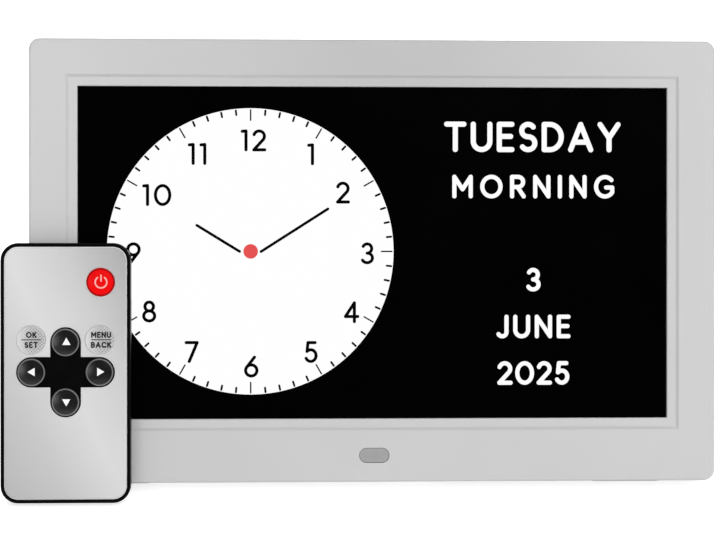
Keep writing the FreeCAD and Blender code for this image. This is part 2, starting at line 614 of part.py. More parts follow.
class Piece:
    """A PartDesign body in one of the frames, built up from sketches."""

    def __init__(self, label, frame):
        self.body = doc.addObject("PartDesign::Body", label)
        self.body.Label = label
        self.body.AllowCompound = True
        self.body.Placement = FreeCAD.Placement(FreeCAD.Vector(0, 0, 0),
                                                FreeCAD.Rotation(FreeCAD.Vector(1, 0, 0), 1))
        self.body.setExpression("Placement.Base.x", formula(frame.x))
        self.body.setExpression("Placement.Base.y", formula(frame.y))
        self.body.setExpression("Placement.Base.z", formula(frame.z))
        self.body.setExpression("Placement.Rotation.Angle", formula(frame.tilt))
        pieces.append(self)

    def sketch(self, plane, start, *outlines):
        """A sketch on a plane of the body, a distance along the axis that the plane faces."""
        role, sign = PLANES[plane]
        sketch = self.body.newObject("Sketcher::SketchObject", self.body.Label + "_sketch")
        origin_plane = next(f for f in self.body.Origin.OriginFeatures if f.Role == role)
        sketch.AttachmentSupport = [(origin_plane, "")]
        sketch.MapMode = "FlatFace"
        sketch.setExpression("AttachmentOffset.Base.z", formula(start * sign))
        for draw in outlines:
            draw(sketch)
        return sketch

    def feature(self, kind, name):
        return self.body.newObject("PartDesign::" + kind, self.body.Label + "_" + name)

    def add(self, plane, start, end, *outlines):
        """Material between two places along the plane's axis."""
        pad = self.feature("Pad", "pad")
        pad.Profile = self.sketch(plane, start, *outlines)
        pad.setExpression("Length", formula(end - start))
        pad.Reversed = PLANES[plane][1] < 0
        doc.recompute()
        return pad

    def cut(self, plane, start, end, *outlines):
        """A cut between two places along the plane's axis; it has to take material away."""
        before = self.body.Shape.Volume
        pocket = self.feature("Pocket", "cut")
        pocket.Profile = self.sketch(plane, start, *outlines)
        pocket.setExpression("Length", formula(end - start))
        pocket.Reversed = PLANES[plane][1] > 0
        doc.recompute()
        if self.body.Shape.Volume >= before:
            raise RuntimeError(f"{self.body.Label}: a cut took nothing away")
        return pocket

    def add_between(self, one, other, *outlines):
        """Material between two places along y, whichever comes first."""
        first, last = (one, other) if number(one) < number(other) else (other, one)
        return self.add("front", first, last, *outlines)

    def cut_between(self, one, other, *outlines):
        first, last = (one, other) if number(one) < number(other) else (other, one)
        return self.cut("front", first, last, *outlines)

    def turn(self, plane, start, axis, profile):
        """A revolved profile: (distance from the axis, height) points, axis upright in the sketch."""
        sketch = self.sketch(plane, start, polygon(*[(axis + out, up) for out, up in profile]))
        foot = FreeCAD.Vector(number(axis), 0, 0)
        line = sketch.addGeometry(Part.LineSegment(foot, foot + FreeCAD.Vector(0, 1, 0)), True)
        hold_point(sketch, line, 1, axis, 0)
        hold_point(sketch, line, 2, axis, 1)
        feature = self.feature("Revolution", "turn")
        feature.Profile = sketch
        feature.ReferenceAxis = (sketch, ["Axis0"])
        feature.Angle = 360
        doc.recompute()
        return feature

    def edges(self, test):
        """The names of the solid's edges whose ends and middle all pass a test, in the body's frame."""
        shape = self.body.Tip.Shape
        chosen = []
        for index, edge in enumerate(shape.Edges, 1):
            middle = edge.valueAt((edge.FirstParameter + edge.LastParameter) / 2)
            if all(test(point) for point in [v.Point for v in edge.Vertexes] + [middle]):
                chosen.append(f"Edge{index}")
        if not chosen:
            raise RuntimeError(f"{self.body.Label}: no edge to work on")
        return chosen

    def round(self, radius, test):
        base = self.body.Tip
        names = self.edges(test)
        fillet = self.feature("Fillet", "rounding")
        fillet.Base = (base, names)
        fillet.setExpression("Radius", formula(radius))
        doc.recompute()
        return fillet

    def chamfer(self, size, test):
        base = self.body.Tip
        names = self.edges(test)
        chamfer = self.feature("Chamfer", "chamfer")
        chamfer.Base = (base, names)
        chamfer.setExpression("Size", formula(size))
        doc.recompute()
        return chamfer


NEAR = 1e-4


def near(value, size):
    return abs(value - number(size)) < NEAR


def add_screws(label, seat, away, points, head, head_height, shank, bite):
    """Pan-head screws on one plane: seat is its place, away is 1 or -1 for the side of the heads."""
    screws = Piece(label, CLOCK)
    head_top = seat + away * head_height
    screws.add_between(seat, head_top, *[circle(x, z, head) for x, z in points])
    screws.add_between(seat - away * bite, seat, *[circle(x, z, shank) for x, z in points])
    screws.chamfer(s.head_chamfer, lambda p: near(p.y, head_top))
    screws.cut_between(head_top - away * s.drive_depth, head_top,
                       *[cross(x, z, s.drive_width, head / 2) for x, z in points])
    return screws


# ---------------------------------------------------------------- places that pieces share
CASE_POSTS = [(side * case_screw_x, z) for side in (-1, 1) for z in (screw_low, screw_high)]
CASE_POSTS.append((Size(0.0, "0"), screw_high))
CLAMP_POSTS = [(side * clamp_x, screen_middle + up * s.clamp_offset) for side in (-1, 1) for up in (-1, 1)]
IR_POSTS = [(side * s.ir_post_spread, s.ir_rise) for side in (-1, 1)]
BOARD_POSTS = [(x, z) for x in (board_left + s.board_inset, board_right - s.board_inset)
               for z in (s.board_bottom + s.board_inset, board_high - s.board_inset)]
KEY_POSTS = [(x, key_rise) for x in (key_first - s.key_board_margin + s.key_post_inset,
                                       key_last + s.key_board_margin - s.key_post_inset)]
REAR_KEY_X = [key_first + k * s.key_pitch for k in range(int(number(s.rear_keys)))]


def table_line(y, above=0.0):
    """Height in the clock's frame of the table, or of a plane above it, at a place y."""
    return (y * lean_sine - clock_rise + above) / lean_cosine


# ---------------------------------------------------------------- the case
def make_front_bezel():
    bezel = Piece("front_bezel", CLOCK)
    bezel.add("front", 0, s.bezel_depth,
              rounded(-half_width, 0, half_width, case_height, s.case_corner))
    bezel.round(s.front_edge, lambda p: near(p.y, 0))
    bezel.chamfer(s.seam_bevel, lambda p: near(p.y, s.bezel_depth))
    bezel.cut("front", s.front_wall, s.bezel_depth,
              rounded(-inner_half_width, inner_low, inner_half_width, inner_high,
                      larger(s.case_corner - s.side_wall, s.fit_gap)))
    for posts, end, width in ((CASE_POSTS, s.bezel_depth, s.post_width),
                              (CLAMP_POSTS, frame_back, s.clamp_post),
                              (IR_POSTS, ir_board_front, s.clamp_post)):
        bezel.add("front", s.front_wall, end, *[circle(x, z, width) for x, z in posts])
    bezel.add("front", s.front_wall, panel_back, *locating_ribs())
    bezel.cut("front", -s.fit_gap, s.ledge_depth,
              box(-half_screen - s.ledge_width, screen_low - s.ledge_width,
                  half_screen + s.ledge_width, screen_high + s.ledge_width))
    bezel.chamfer(s.ledge_bevel, lambda p: near(p.y, 0) and on_outline(p, s.ledge_width))
    bezel.cut("front", 0, s.front_wall, box(-half_screen, screen_low, half_screen, screen_high))
    bezel.round(s.window_edge, lambda p: near(p.y, s.ledge_depth) and on_outline(p, 0))
    bezel.cut("front", 0, s.front_wall, pill(-ir_reach, s.ir_rise, ir_reach, s.ir_rise, s.ir_height))
    pilot = s.case_screw_shank + 2 * s.thread_gap
    bezel.cut("front", s.bezel_depth - s.case_screw_bite - s.hole_gap, s.bezel_depth,
              *[circle(x, z, pilot) for x, z in CASE_POSTS])
    small_pilot = s.small_shank + 2 * s.thread_gap
    bezel.cut("front", frame_back - s.small_bite - s.hole_gap, frame_back,
              *[circle(x, z, small_pilot) for x, z in CLAMP_POSTS])
    bezel.cut("front", ir_board_front - s.small_bite - s.hole_gap, ir_board_front,
              *[circle(x, z, small_pilot) for x, z in IR_POSTS])


def locating_ribs():
    """Two short ribs each side that hold the screen's frame in the middle."""
    for side in (-1, 1):
        for up in (-1, 1):
            near_side = side * (half_frame + s.fit_gap)
            far_side = near_side + side * s.lip_thickness
            middle = screen_middle + up * s.rib_offset
            yield box(near_side, middle - s.clamp_height / 2, far_side, middle + s.clamp_height / 2)


def on_outline(p, reach):
    """Whether a point lies on the screen's outline, moved outwards by a reach."""
    across = near(abs(p.x), half_screen + reach)
    low, high = number(screen_low - reach), number(screen_high + reach)
    return (across or near(p.z, low) or near(p.z, high)) and low - NEAR < p.z < high + NEAR


def make_rear_cover():
    cover = Piece("rear_cover", CLOCK)
    cover.add("front", s.bezel_depth, s.case_depth,
              rounded(-half_width, 0, half_width, case_height, s.case_corner))
    cover.round(s.rear_edge, lambda p: near(p.y, s.case_depth))
    cover.chamfer(s.seam_bevel, lambda p: near(p.y, s.bezel_depth))
    inner_corner = larger(s.case_corner - s.side_wall, s.fit_gap)
    cover.cut("front", s.bezel_depth, inner_back,
              rounded(-inner_half_width, inner_low, inner_half_width, inner_high, inner_corner))
    add_lip(cover)
    screw_post = s.case_screw_head + 2 * (s.hole_gap + s.lip_thickness)
    for posts, start, width in ((CASE_POSTS, s.bezel_depth, screw_post),
                                (BOARD_POSTS, board_back, small_post),
                                (KEY_POSTS, key_board_back, small_post)):
        cover.add("front", start, inner_back, *[circle(x, z, width) for x, z in posts])
    add_speaker_seat(cover)
    add_leg_recess(cover)
    cut_screw_holes(cover)
    cut_sockets(cover)
    cut_back_openings(cover)
    for side in (-1, 1):
        cover.cut("top", -s.fit_gap, s.foot_seat, foot_outline(side * foot_spread, s.fit_gap))


def add_lip(cover):
    """A ring that the bezel's wall slips over, and the shoulder that ties it to the wall."""
    outer = inner_half_width - s.fit_gap
    low, high = inner_low + s.fit_gap, inner_high - s.fit_gap
    inner = outer - s.lip_thickness
    for start, end, extra in ((s.bezel_depth - s.lip_height, s.bezel_depth, 0),
                              (s.bezel_depth, s.bezel_depth + s.lip_height, 2 * s.fit_gap)):
        corner = larger(s.case_corner - s.side_wall, s.fit_gap)
        cover.add("front", start, end,
                  rounded(-outer - extra, low - extra, outer + extra, high + extra, corner),
                  rounded(-inner, low + s.lip_thickness, inner, high - s.lip_thickness, corner))


def add_speaker_seat(cover):
    """A round wall that the speaker drops into."""
    inside = s.speaker_width + 2 * s.fit_gap
    cover.add("front", inner_back - s.speaker_rim * 2, inner_back,
              circle(-speaker_left, s.speaker_rise, inside + 2 * s.lip_thickness),
              circle(-speaker_left, s.speaker_rise, inside))


def add_leg_recess(cover):
    """The trough that the folded leg lies in, open at the bottom, with a cheek each side of the hinge."""
    outer = half_recess + s.recess_wall
    front = recess_floor - s.recess_wall
    cover.add("front", front, inner_back, box(-outer, 0, outer, recess_high + s.recess_wall))
    cheek = half_recess + s.pin_seat
    cover.add("front", front, inner_back,
              box(-cheek, s.hinge_rise - s.leg_thickness, cheek, recess_high + s.recess_wall))
    cover.cut("front", recess_floor, s.case_depth,
              box(-half_recess, -s.fit_gap, half_recess, recess_high))
    cover.cut("side", -cheek - s.fit_gap, cheek + s.fit_gap,
              circle(hinge_y, s.hinge_rise, s.pin_width + 2 * s.thread_gap))


def cut_screw_holes(cover):
    cover.cut("front", s.screw_seat, s.case_depth,
              *[circle(x, z, s.case_screw_head + 2 * s.hole_gap) for x, z in CASE_POSTS])
    cover.cut("front", s.bezel_depth, s.screw_seat,
              *[circle(x, z, s.case_screw_shank + 2 * s.hole_gap) for x, z in CASE_POSTS])
    small_pilot = s.small_shank + 2 * s.thread_gap
    depth = s.small_bite + s.hole_gap
    cover.cut("front", board_back, board_back + depth, *[circle(x, z, small_pilot) for x, z in BOARD_POSTS])
    cover.cut("front", key_board_back, key_board_back + depth,
              *[circle(x, z, small_pilot) for x, z in KEY_POSTS])


def cut_sockets(cover):
    """Holes in the right side for the power jack, the USB socket and the card socket."""
    gap = s.port_gap
    start, end = inner_half_width - s.lip_thickness - s.hole_gap, half_width
    usb_half, usb_tall = s.usb_width / 2 + gap, s.usb_height / 2 + gap
    card_half, card_tall = s.card_slot / 2 + gap, s.card_gap / 2 + gap
    cover.cut("side", start, end, circle(jack_y, jack_rise, s.jack_bore + 2 * gap),
              box(usb_y - usb_tall, usb_rise - usb_half, usb_y + usb_tall, usb_rise + usb_half),
              box(card_y - card_tall, card_rise - card_half, card_y + card_tall, card_rise + card_half))


def cut_back_openings(cover):
    """Cooling slots, the speaker's grille, the keyholes and the keys' holes."""
    first = -s.vent_pitch * (s.vent_slots - 1) / 2
    half_slot = (s.vent_height - s.vent_width) / 2
    cover.cut("front", inner_back, s.case_depth,
              *[pill(first + k * s.vent_pitch, vent_rise - half_slot,
                     first + k * s.vent_pitch, vent_rise + half_slot, s.vent_width)
                for k in range(int(number(s.vent_slots)))])
    cover.cut("front", inner_back, s.case_depth,
              *[circle(x, z, s.grille_hole) for x, z in grille_holes()])
    for side in (-1, 1):
        x = side * hanger_spread
        cover.cut("front", inner_back, s.case_depth, circle(x, hanger_rise, s.hanger_entry))
        cover.cut("front", inner_back, s.case_depth,
                  pill(x, hanger_rise, x, hanger_rise + s.hanger_slide, s.hanger_neck))
    hole = s.key_width + 2 * s.key_gap
    cover.cut("front", inner_back, s.case_depth, *[circle(x, key_rise, hole) for x in REAR_KEY_X])


def grille_holes():
    """A middle hole and rings of holes round it, six more in each ring than in the last."""
    holes = [(-speaker_left, s.speaker_rise)]
    for ring in range(1, int(number(s.grille_rings)) + 1):
        for k in range(6 * ring):
            turn = 360.0 * k / (6 * ring)
            reach = ring * s.grille_pitch
            holes.append((reach * math.cos(math.radians(turn)) - speaker_left,
                          reach * math.sin(math.radians(turn)) + s.speaker_rise))
    return holes


def foot_outline(x, extra=0.0):
    half = s.foot_length / 2 + extra
    return box(x - half, s.foot_front - extra, x + half, s.foot_back + extra)


def make_rubber_feet():
    """Wedges whose undersides lie flat on the table while the case leans back."""
    feet = Piece("rubber_feet", CLOCK)
    top = s.foot_seat
    for side in (-1, 1):
        x = side * foot_spread
        feet.add("side", x - s.foot_length / 2, x + s.foot_length / 2,
                 polygon((s.foot_front, table_line(s.foot_front)), (s.foot_back, table_line(s.foot_back)),
                         (s.foot_back, top), (s.foot_front, top)))


# ---------------------------------------------------------------- the screen module
def make_screen_module():
    panel = Piece("lcd_panel", CLOCK)
    panel.add("front", s.front_wall, panel_back, box(-half_panel, panel_low, half_panel, panel_high))
    guide = Piece("lcd_light_guide", CLOCK)
    guide.add("front", panel_back, guide_back, box(-half_panel, panel_low, half_panel, panel_high))

    tray = Piece("lcd_frame", CLOCK)
    tray.add("front", s.front_wall + s.fit_gap, frame_back,
             box(-half_frame, frame_low, half_frame, frame_high))
    inside = half_frame - s.frame_sheet
    tray.cut("front", s.front_wall, guide_back,
             box(-inside, frame_low + s.frame_sheet, inside, frame_high - s.frame_sheet))
    half_notch = s.flex_width / 2 + s.fit_gap
    tray.cut("front", s.front_wall, frame_back,
             box(flex_x - half_notch, frame_low - s.fit_gap, flex_x + half_notch,
                 frame_low + s.frame_sheet + s.fit_gap))
    for side in (-1, 1):
        tray.add("front", frame_back, frame_back + s.frame_sheet,
                 box(side * half_frame / 2 - s.clamp_height, screen_middle - s.clamp_offset,
                     side * half_frame / 2 + s.clamp_height, screen_middle + s.clamp_offset))

    flex = Piece("lcd_flex", CLOCK)
    low, under = panel_low, frame_low - s.flex_reach
    near_face = panel_back - s.flex_thickness
    t = s.flex_thickness
    rise = s.board_bottom + s.flex_reach
    reach = s.board_front - t
    flex.add("side", flex_x - s.flex_width / 2, flex_x + s.flex_width / 2,
             polygon((near_face, low), (near_face, under), (reach, under), (reach, rise),
                     (s.board_front, rise), (s.board_front, under - t), (near_face - t, under - t),
                     (near_face - t, low)))

    clamps = Piece("lcd_clamps", CLOCK)
    for x, z in CLAMP_POSTS:
        side = 1 if number(x) > 0 else -1
        outer = x + side * s.clamp_post / 2
        inner = side * (half_frame - s.clamp_height / 2)
        first, last = (inner, outer) if side > 0 else (outer, inner)
        clamps.add("front", frame_back, frame_back + s.clamp_thickness,
                   box(first, z - s.clamp_height / 2, last, z + s.clamp_height / 2))
    clamps.cut("front", frame_back, frame_back + s.clamp_thickness,
               *[circle(x, z, s.small_shank + 2 * s.hole_gap) for x, z in CLAMP_POSTS])


# ---------------------------------------------------------------- infra-red receiver
def make_receiver():
    window = Piece("ir_window", CLOCK)
    window.add("front", s.ir_sunk, s.front_wall,
               pill(-ir_reach, s.ir_rise, ir_reach, s.ir_rise, s.ir_height - 2 * s.plate_gap))
    window.round(s.ir_round, lambda p: near(p.y, s.ir_sunk))
    window.add("front", s.front_wall, s.front_wall + s.ir_flange,
               pill(-ir_reach, s.ir_rise, ir_reach, s.ir_rise, s.ir_height + 2 * s.ir_flange))

    board = Piece("ir_board", CLOCK)
    half, tall = s.ir_board_width / 2, s.ir_board_height / 2
    board.add("front", ir_board_front, ir_board_front + s.thin_board,
              box(-half, s.ir_rise - tall, half, s.ir_rise + tall))
    board.cut("front", ir_board_front, ir_board_front + s.thin_board,
              *[circle(x, z, s.small_shank + 2 * s.hole_gap) for x, z in IR_POSTS])

    receiver = Piece("ir_receiver", CLOCK)
    half = s.receiver_size / 2
    receiver.add("front", ir_board_front - s.receiver_depth, ir_board_front,
                 box(-half, s.ir_rise - half, half, s.ir_rise + half))
    dome_base = ir_board_front - s.receiver_depth
    receiver.add("front", dome_base - s.receiver_dome, dome_base, circle(0, s.ir_rise, 2 * s.receiver_dome))
    receiver.round(s.receiver_dome - s.key_slack, lambda p: near(p.y, dome_base - s.receiver_dome))


# ---------------------------------------------------------------- boards and their parts
def make_main_board():
    board = Piece("main_board", CLOCK)
    board.add("front", s.board_front, board_back, box(board_left, s.board_bottom, board_right, board_high))
    board.cut("front", s.board_front, board_back,
              *[circle(x, z, s.small_shank + 2 * s.hole_gap) for x, z in BOARD_POSTS])

    chips = Piece("main_chips", CLOCK)
    chip_x = board_left + s.chip_inset
    chip_z = s.board_bottom + s.chip_rise
    for x, z, size in ((chip_x, chip_z, s.chip_size), (chip_x + s.chip_size, chip_z, s.chip_size / 2),
                       (chip_x, s.board_bottom + s.memory_rise, s.chip_size / 2)):
        chips.add("front", board_back, board_back + s.chip_height,
                  box(x - size / 2, z - size / 2, x + size / 2, z + size / 2))

    crystal = Piece("clock_crystal", CLOCK)
    x = chip_x - s.chip_size
    crystal.add("front", board_back, board_back + s.chip_height,
                pill(x, chip_z - s.chip_height, x, chip_z + s.chip_height, 2 * s.chip_height))


def make_backup_cell():
    holder = Piece("cell_holder", CLOCK)
    outer = holder_width
    floor = board_back + s.holder_floor
    holder.add("front", board_back, floor + s.holder_rim, circle(backup_x, backup_z, outer))
    holder.cut("front", floor, floor + s.holder_rim,
               circle(backup_x, backup_z, s.cell_width + 2 * s.fit_gap))
    holder.cut("front", floor, floor + s.holder_rim,
               box(backup_x - s.holder_wall * 2, backup_z + s.cell_width / 4,
                   backup_x + s.holder_wall * 2, backup_z + outer))

    cell = Piece("backup_cell", CLOCK)
    cell.add("front", floor, floor + s.cell_height, circle(backup_x, backup_z, s.cell_width))
    cell.chamfer(s.fit_gap, lambda p: near(p.y, floor) or near(p.y, floor + s.cell_height))


def make_lead_sockets():
    """Sockets on the back of the main board, along its left edge, that the leads plug into."""
    sockets = Piece("lead_sockets", CLOCK)
    for z in (speaker_plug_z, key_plug_z):
        sockets.add("front", board_back, board_back + s.plug_height,
                    box(board_left, z - s.plug_length / 2, board_left + s.plug_width,
                        z + s.plug_length / 2))


# ---------------------------------------------------------------- sockets in the side
def make_power_jack():
    jack = Piece("dc_jack", CLOCK)
    half = s.jack_width / 2
    jack.add("side", socket_left, inner_half_width - s.fit_gap,
             box(board_back, jack_rise - half, board_back + s.jack_height, jack_rise + half))
    jack.cut("side", socket_left + s.holder_wall, inner_half_width - s.fit_gap,
             circle(jack_y, jack_rise, s.jack_bore))
    jack.add("side", socket_left + s.holder_wall - s.fit_gap, inner_half_width - s.holder_wall,
             circle(jack_y, jack_rise, s.jack_pin))


def make_usb_socket():
    """A folded steel shell with a plastic tongue inside it."""
    socket = Piece("usb_socket", CLOCK)
    half, tall = s.usb_width / 2, s.usb_height / 2
    end = inner_half_width + s.side_wall / 2
    socket.add("side", socket_left, end,
               box(usb_y - tall, usb_rise - half, usb_y + tall, usb_rise + half))
    sheet_wall = s.usb_sheet
    socket.cut("side", socket_left + s.holder_wall, end,
               box(usb_y - tall + sheet_wall, usb_rise - half + sheet_wall,
                   usb_y + tall - sheet_wall, usb_rise + half - sheet_wall))
    tongue_y, tongue_half = usb_y - tall + 2 * sheet_wall, s.usb_tongue_width / 2
    socket.add("side", socket_left + s.holder_wall - s.fit_gap, end - s.holder_wall,
               box(tongue_y, usb_rise - tongue_half, tongue_y + s.usb_tongue, usb_rise + tongue_half))


def make_card_socket():
    socket = Piece("card_socket", CLOCK)
    half, tall = s.card_width / 2, s.card_height / 2
    slot, gap = s.card_slot / 2, s.card_gap / 2
    left = socket_left - s.socket_length
    socket.add("side", left, inner_half_width - s.fit_gap,
               box(card_y - tall, card_rise - half, card_y + tall, card_rise + half))
    socket.cut("side", left + s.holder_wall, inner_half_width - s.fit_gap,
               box(card_y - gap, card_rise - slot, card_y + gap, card_rise + slot))


# ---------------------------------------------------------------- speaker
def make_speaker():
    """A shallow speaker: a pressed basket with its magnet, and a paper cone on its rim."""
    front, back = speaker_front, inner_back
    rim, magnet = s.speaker_width / 2, s.magnet_width / 2
    basket = Piece("speaker_basket", CLOCK)
    rim_front = back - s.speaker_rim
    waist = front + s.magnet_depth
    basket.turn("top", s.speaker_rise, -speaker_left,
                ((0, front), (magnet, front), (magnet, waist), (rim - s.holder_wall, rim_front),
                 (rim, rim_front), (rim, back), (rim - s.holder_wall, back),
                 (rim - s.holder_wall, rim_front + s.cone_sheet), (magnet, waist + s.cone_sheet),
                 (0, waist + s.cone_sheet)))
    cone = Piece("speaker_cone", CLOCK)
    outer = rim - s.holder_wall - s.fit_gap
    cap = magnet / 2
    sheet_wall = s.cone_sheet
    deep = back - s.cone_depth
    cone.turn("top", s.speaker_rise, -speaker_left,
              ((0, deep + sheet_wall), (cap, deep), (outer, back - s.fit_gap - sheet_wall),
               (outer, back - s.fit_gap), (cap, deep + sheet_wall), (0, deep + 2 * sheet_wall)))


# ---------------------------------------------------------------- keys on the back
def make_key_board():
    board = Piece("key_board", CLOCK)
    left, right = key_first - s.key_board_margin, key_last + s.key_board_margin
    half = s.key_board_height / 2
    board.add("front", s.key_board_front, key_board_back,
              box(left, key_rise - half, right, key_rise + half))
    board.cut("front", s.key_board_front, key_board_back,
              *[circle(x, z, s.small_shank + 2 * s.hole_gap) for x, z in KEY_POSTS])

    switches = Piece("key_switches", CLOCK)
    half = s.switch_size / 2
    for x in REAR_KEY_X:
        switches.add("front", key_board_back, key_board_back + s.switch_height,
                     box(x - half, key_rise - half, x + half, key_rise + half))
        switches.add("front", key_board_back + s.switch_height, switch_top,
                     circle(x, key_rise, s.switch_button))


def make_rear_key(name, x):
    """A turned-looking moulded cap with a crowned face, and the flange that keeps it in."""
    key = Piece(f"rear_key_{name}", CLOCK)
    cap, flange = s.key_width / 2, s.key_width / 2 + s.key_flange
    flange_back = key_flange_front + s.key_flange_sheet
    edge = s.case_depth + s.key_proud
    key.turn("top", key_rise, x,
             ((0, key_flange_front), (flange, key_flange_front), (flange, flange_back), (cap, flange_back),
              (cap, edge - s.key_crown), (cap - s.key_crown, edge), (0, edge + s.key_crown)))


# ---------------------------------------------------------------- leg
def make_leg():
    leg = Piece("stand_leg", LEG)
    half = s.leg_width / 2
    thick = s.leg_thickness / 2
    leg.add("side", -half, half,
            polygon((-thick, 0), (-thick, foot_top(-thick)), (thick, foot_top(thick)), (thick, 0)))
    leg.add("side", -half, half, circle(0, 0, s.leg_thickness))
    lift, reach = s.key_slack, s.stop_tab
    slope_start = (thick + s.leg_gap - lift - thick * open_cosine) / open_sine
    slope_end = (reach * open_sine - thick - s.leg_gap + lift) / open_cosine
    leg.add("side", -half, half,
            polygon((-thick, -thick), (-thick, slope_start), (slope_end, reach),
                    (thick, reach), (thick, -thick)))
    for side in (-1, 1):
        low = foot_top(thick) - s.leg_wall
        edge, narrow = side * (half + s.fit_gap), side * (half - s.leg_taper)
        leg.cut("front", -thick - s.fit_gap, thick + s.fit_gap,
                polygon((edge, -s.leg_width / 2), (narrow, low), (edge, low)))
    add_leg_hollows(leg)
    round_from = number(foot_top(thick) + s.leg_wall)
    leg.round(s.leg_wall / 2, lambda p: near(p.y, thick) and p.z > round_from)
    leg.cut("side", -half - s.fit_gap, half + s.fit_gap, circle(0, 0, s.pin_width + 2 * s.pin_gap))


def add_leg_hollows(leg):
    """Pockets on the inner side that leave a skin, a rim and ribs across."""
    thick = s.leg_thickness / 2
    rooms = int(number(s.leg_ribs)) + 1
    high = -thick - s.leg_wall
    low = foot_top(thick) + 2 * s.leg_wall
    room = (high - low - s.leg_ribs * s.leg_wall) / rooms
    half = s.leg_width / 2 - s.leg_taper - s.leg_wall
    leg.cut("front", -thick, thick - s.leg_wall,
            *[rounded(-half, low + k * (room + s.leg_wall), half, low + k * (room + s.leg_wall) + room,
                      s.leg_wall / 2) for k in range(rooms)])


def foot_line(y, above=0.0):
    """Height in the leg's frame of the table, or of a plane above it, at a place y."""
    return (above - LEG.z - y * foot_sine) / foot_cosine


def foot_top(y):
    return foot_line(y, s.foot_sheet)


def make_leg_foot():
    foot = Piece("stand_foot", LEG)
    half = s.leg_width / 2 - s.leg_taper
    thick = s.leg_thickness / 2
    foot.add("side", -half, half,
             polygon((-thick, foot_line(-thick)), (thick, foot_line(thick)),
                     (thick, foot_top(thick)), (-thick, foot_top(-thick))))


def make_hinge_pin():
    pin = Piece("stand_pin", CLOCK)
    half = half_recess + s.pin_seat
    pin.add("side", -half, half, circle(hinge_y, s.hinge_rise, s.pin_width))
    pin.chamfer(s.pin_chamfer, lambda p: near(abs(p.x), half))


def make_screws():
    add_screws("case_screws", s.screw_seat, 1, CASE_POSTS, s.case_screw_head, s.case_screw_head_height,
               s.case_screw_shank, s.screw_seat - s.bezel_depth + s.case_screw_bite)
    small = s.small_head, s.small_head_height, s.small_shank
    add_screws("clamp_screws", frame_back + s.clamp_thickness, 1, CLAMP_POSTS, *small,
               s.clamp_thickness + s.small_bite)
    add_screws("receiver_screws", ir_board_front + s.thin_board, 1, IR_POSTS, *small,
               s.thin_board + s.small_bite)
    add_screws("board_screws", s.board_front, -1, BOARD_POSTS, *small, s.board_thickness + s.small_bite)
    add_screws("key_board_screws", s.key_board_front, -1, KEY_POSTS, *small,
               s.board_thickness + s.small_bite)


# ---------------------------------------------------------------- leads inside the case
def make_lead(label, y, route):
    """A round lead swept along straight runs in one plane, with rounded bends between them."""
    lead = Piece(label, CLOCK)
    path = lead.sketch("front", y)
    corners = [FreeCAD.Vector(number(x), number(z), 0) for x, z in route]
    runs = path.addGeometry([Part.LineSegment(a, b) for a, b in zip(corners, corners[1:])], False)
    for run, next_run in zip(runs, runs[1:]):
        path.addConstraint(FIXED("Coincident", run, 2, next_run, 1))
    for run, (x, z) in zip(runs, route):
        hold_point(path, run, 1, x, z)
    hold_point(path, runs[-1], 2, *route[-1])
    start_x, start_z = route[0]
    section = lead.sketch("side", start_x, circle(y, start_z, s.wire_width))
    pipe = lead.feature("AdditivePipe", "sweep")
    pipe.Profile = section
    pipe.Spine = path
    pipe.Transition = 2
    doc.recompute()


def make_leads():
    out = board_left
    step = s.wire_bend
    terminal = -speaker_left + s.magnet_width / 2
    make_lead("speaker_lead", s.wire_front,
              ((out, speaker_plug_z), (out - step, speaker_plug_z), (out - 2 * step, s.speaker_rise),
               (terminal + step, s.speaker_rise), (terminal + s.fit_gap, s.speaker_rise)))
    board_left_edge = key_first - s.key_board_margin
    make_lead("key_lead", s.wire_front,
              ((out, key_plug_z), (out - step, key_plug_z), (board_left_edge - step, key_plug_z + 2 * step),
               (board_left_edge - step, key_rise), (board_left_edge, key_rise)))
    rise_x = board_left + s.ir_wire_end
    make_lead("ir_lead", ir_board_front + s.thin_board + s.wire_width / 2,
              ((s.ir_wire_start, s.ir_rise), (rise_x, s.ir_rise), (rise_x, s.board_bottom)))


# ---------------------------------------------------------------- remote control
REMOTE_KEYS = (
    ("power", s.power_x, power_rise),
    ("ok", -s.side_key_x, side_key_rise),
    ("menu", s.side_key_x, side_key_rise),
    ("up", 0.0, s.cross_rise + s.cross_reach_z),
    ("down", 0.0, s.cross_rise - s.cross_reach_z),
    ("left", -s.cross_reach_x, s.cross_rise),
    ("right", s.cross_reach_x, s.cross_rise),
)


def remote_outline(inset):
    return rounded(inset - half_remote, inset, half_remote - inset, s.remote_height - inset,
                   larger(s.remote_corner - inset, s.fit_gap))


def cross_arms(extra):
    """The two bars of the cross that the arrow keys sit in, each with round ends."""
    width = s.cross_width + 2 * extra
    yield pill(-s.cross_reach_x, s.cross_rise, s.cross_reach_x, s.cross_rise, width)
    yield pill(0.0, s.cross_rise - s.cross_reach_z, 0.0, s.cross_rise + s.cross_reach_z, width)


def key_circles(extra, names=("power", "ok", "menu", "up", "down", "left", "right")):
    return [circle(x, z, s.small_key_width + 2 * extra) for name, x, z in REMOTE_KEYS if name in names]


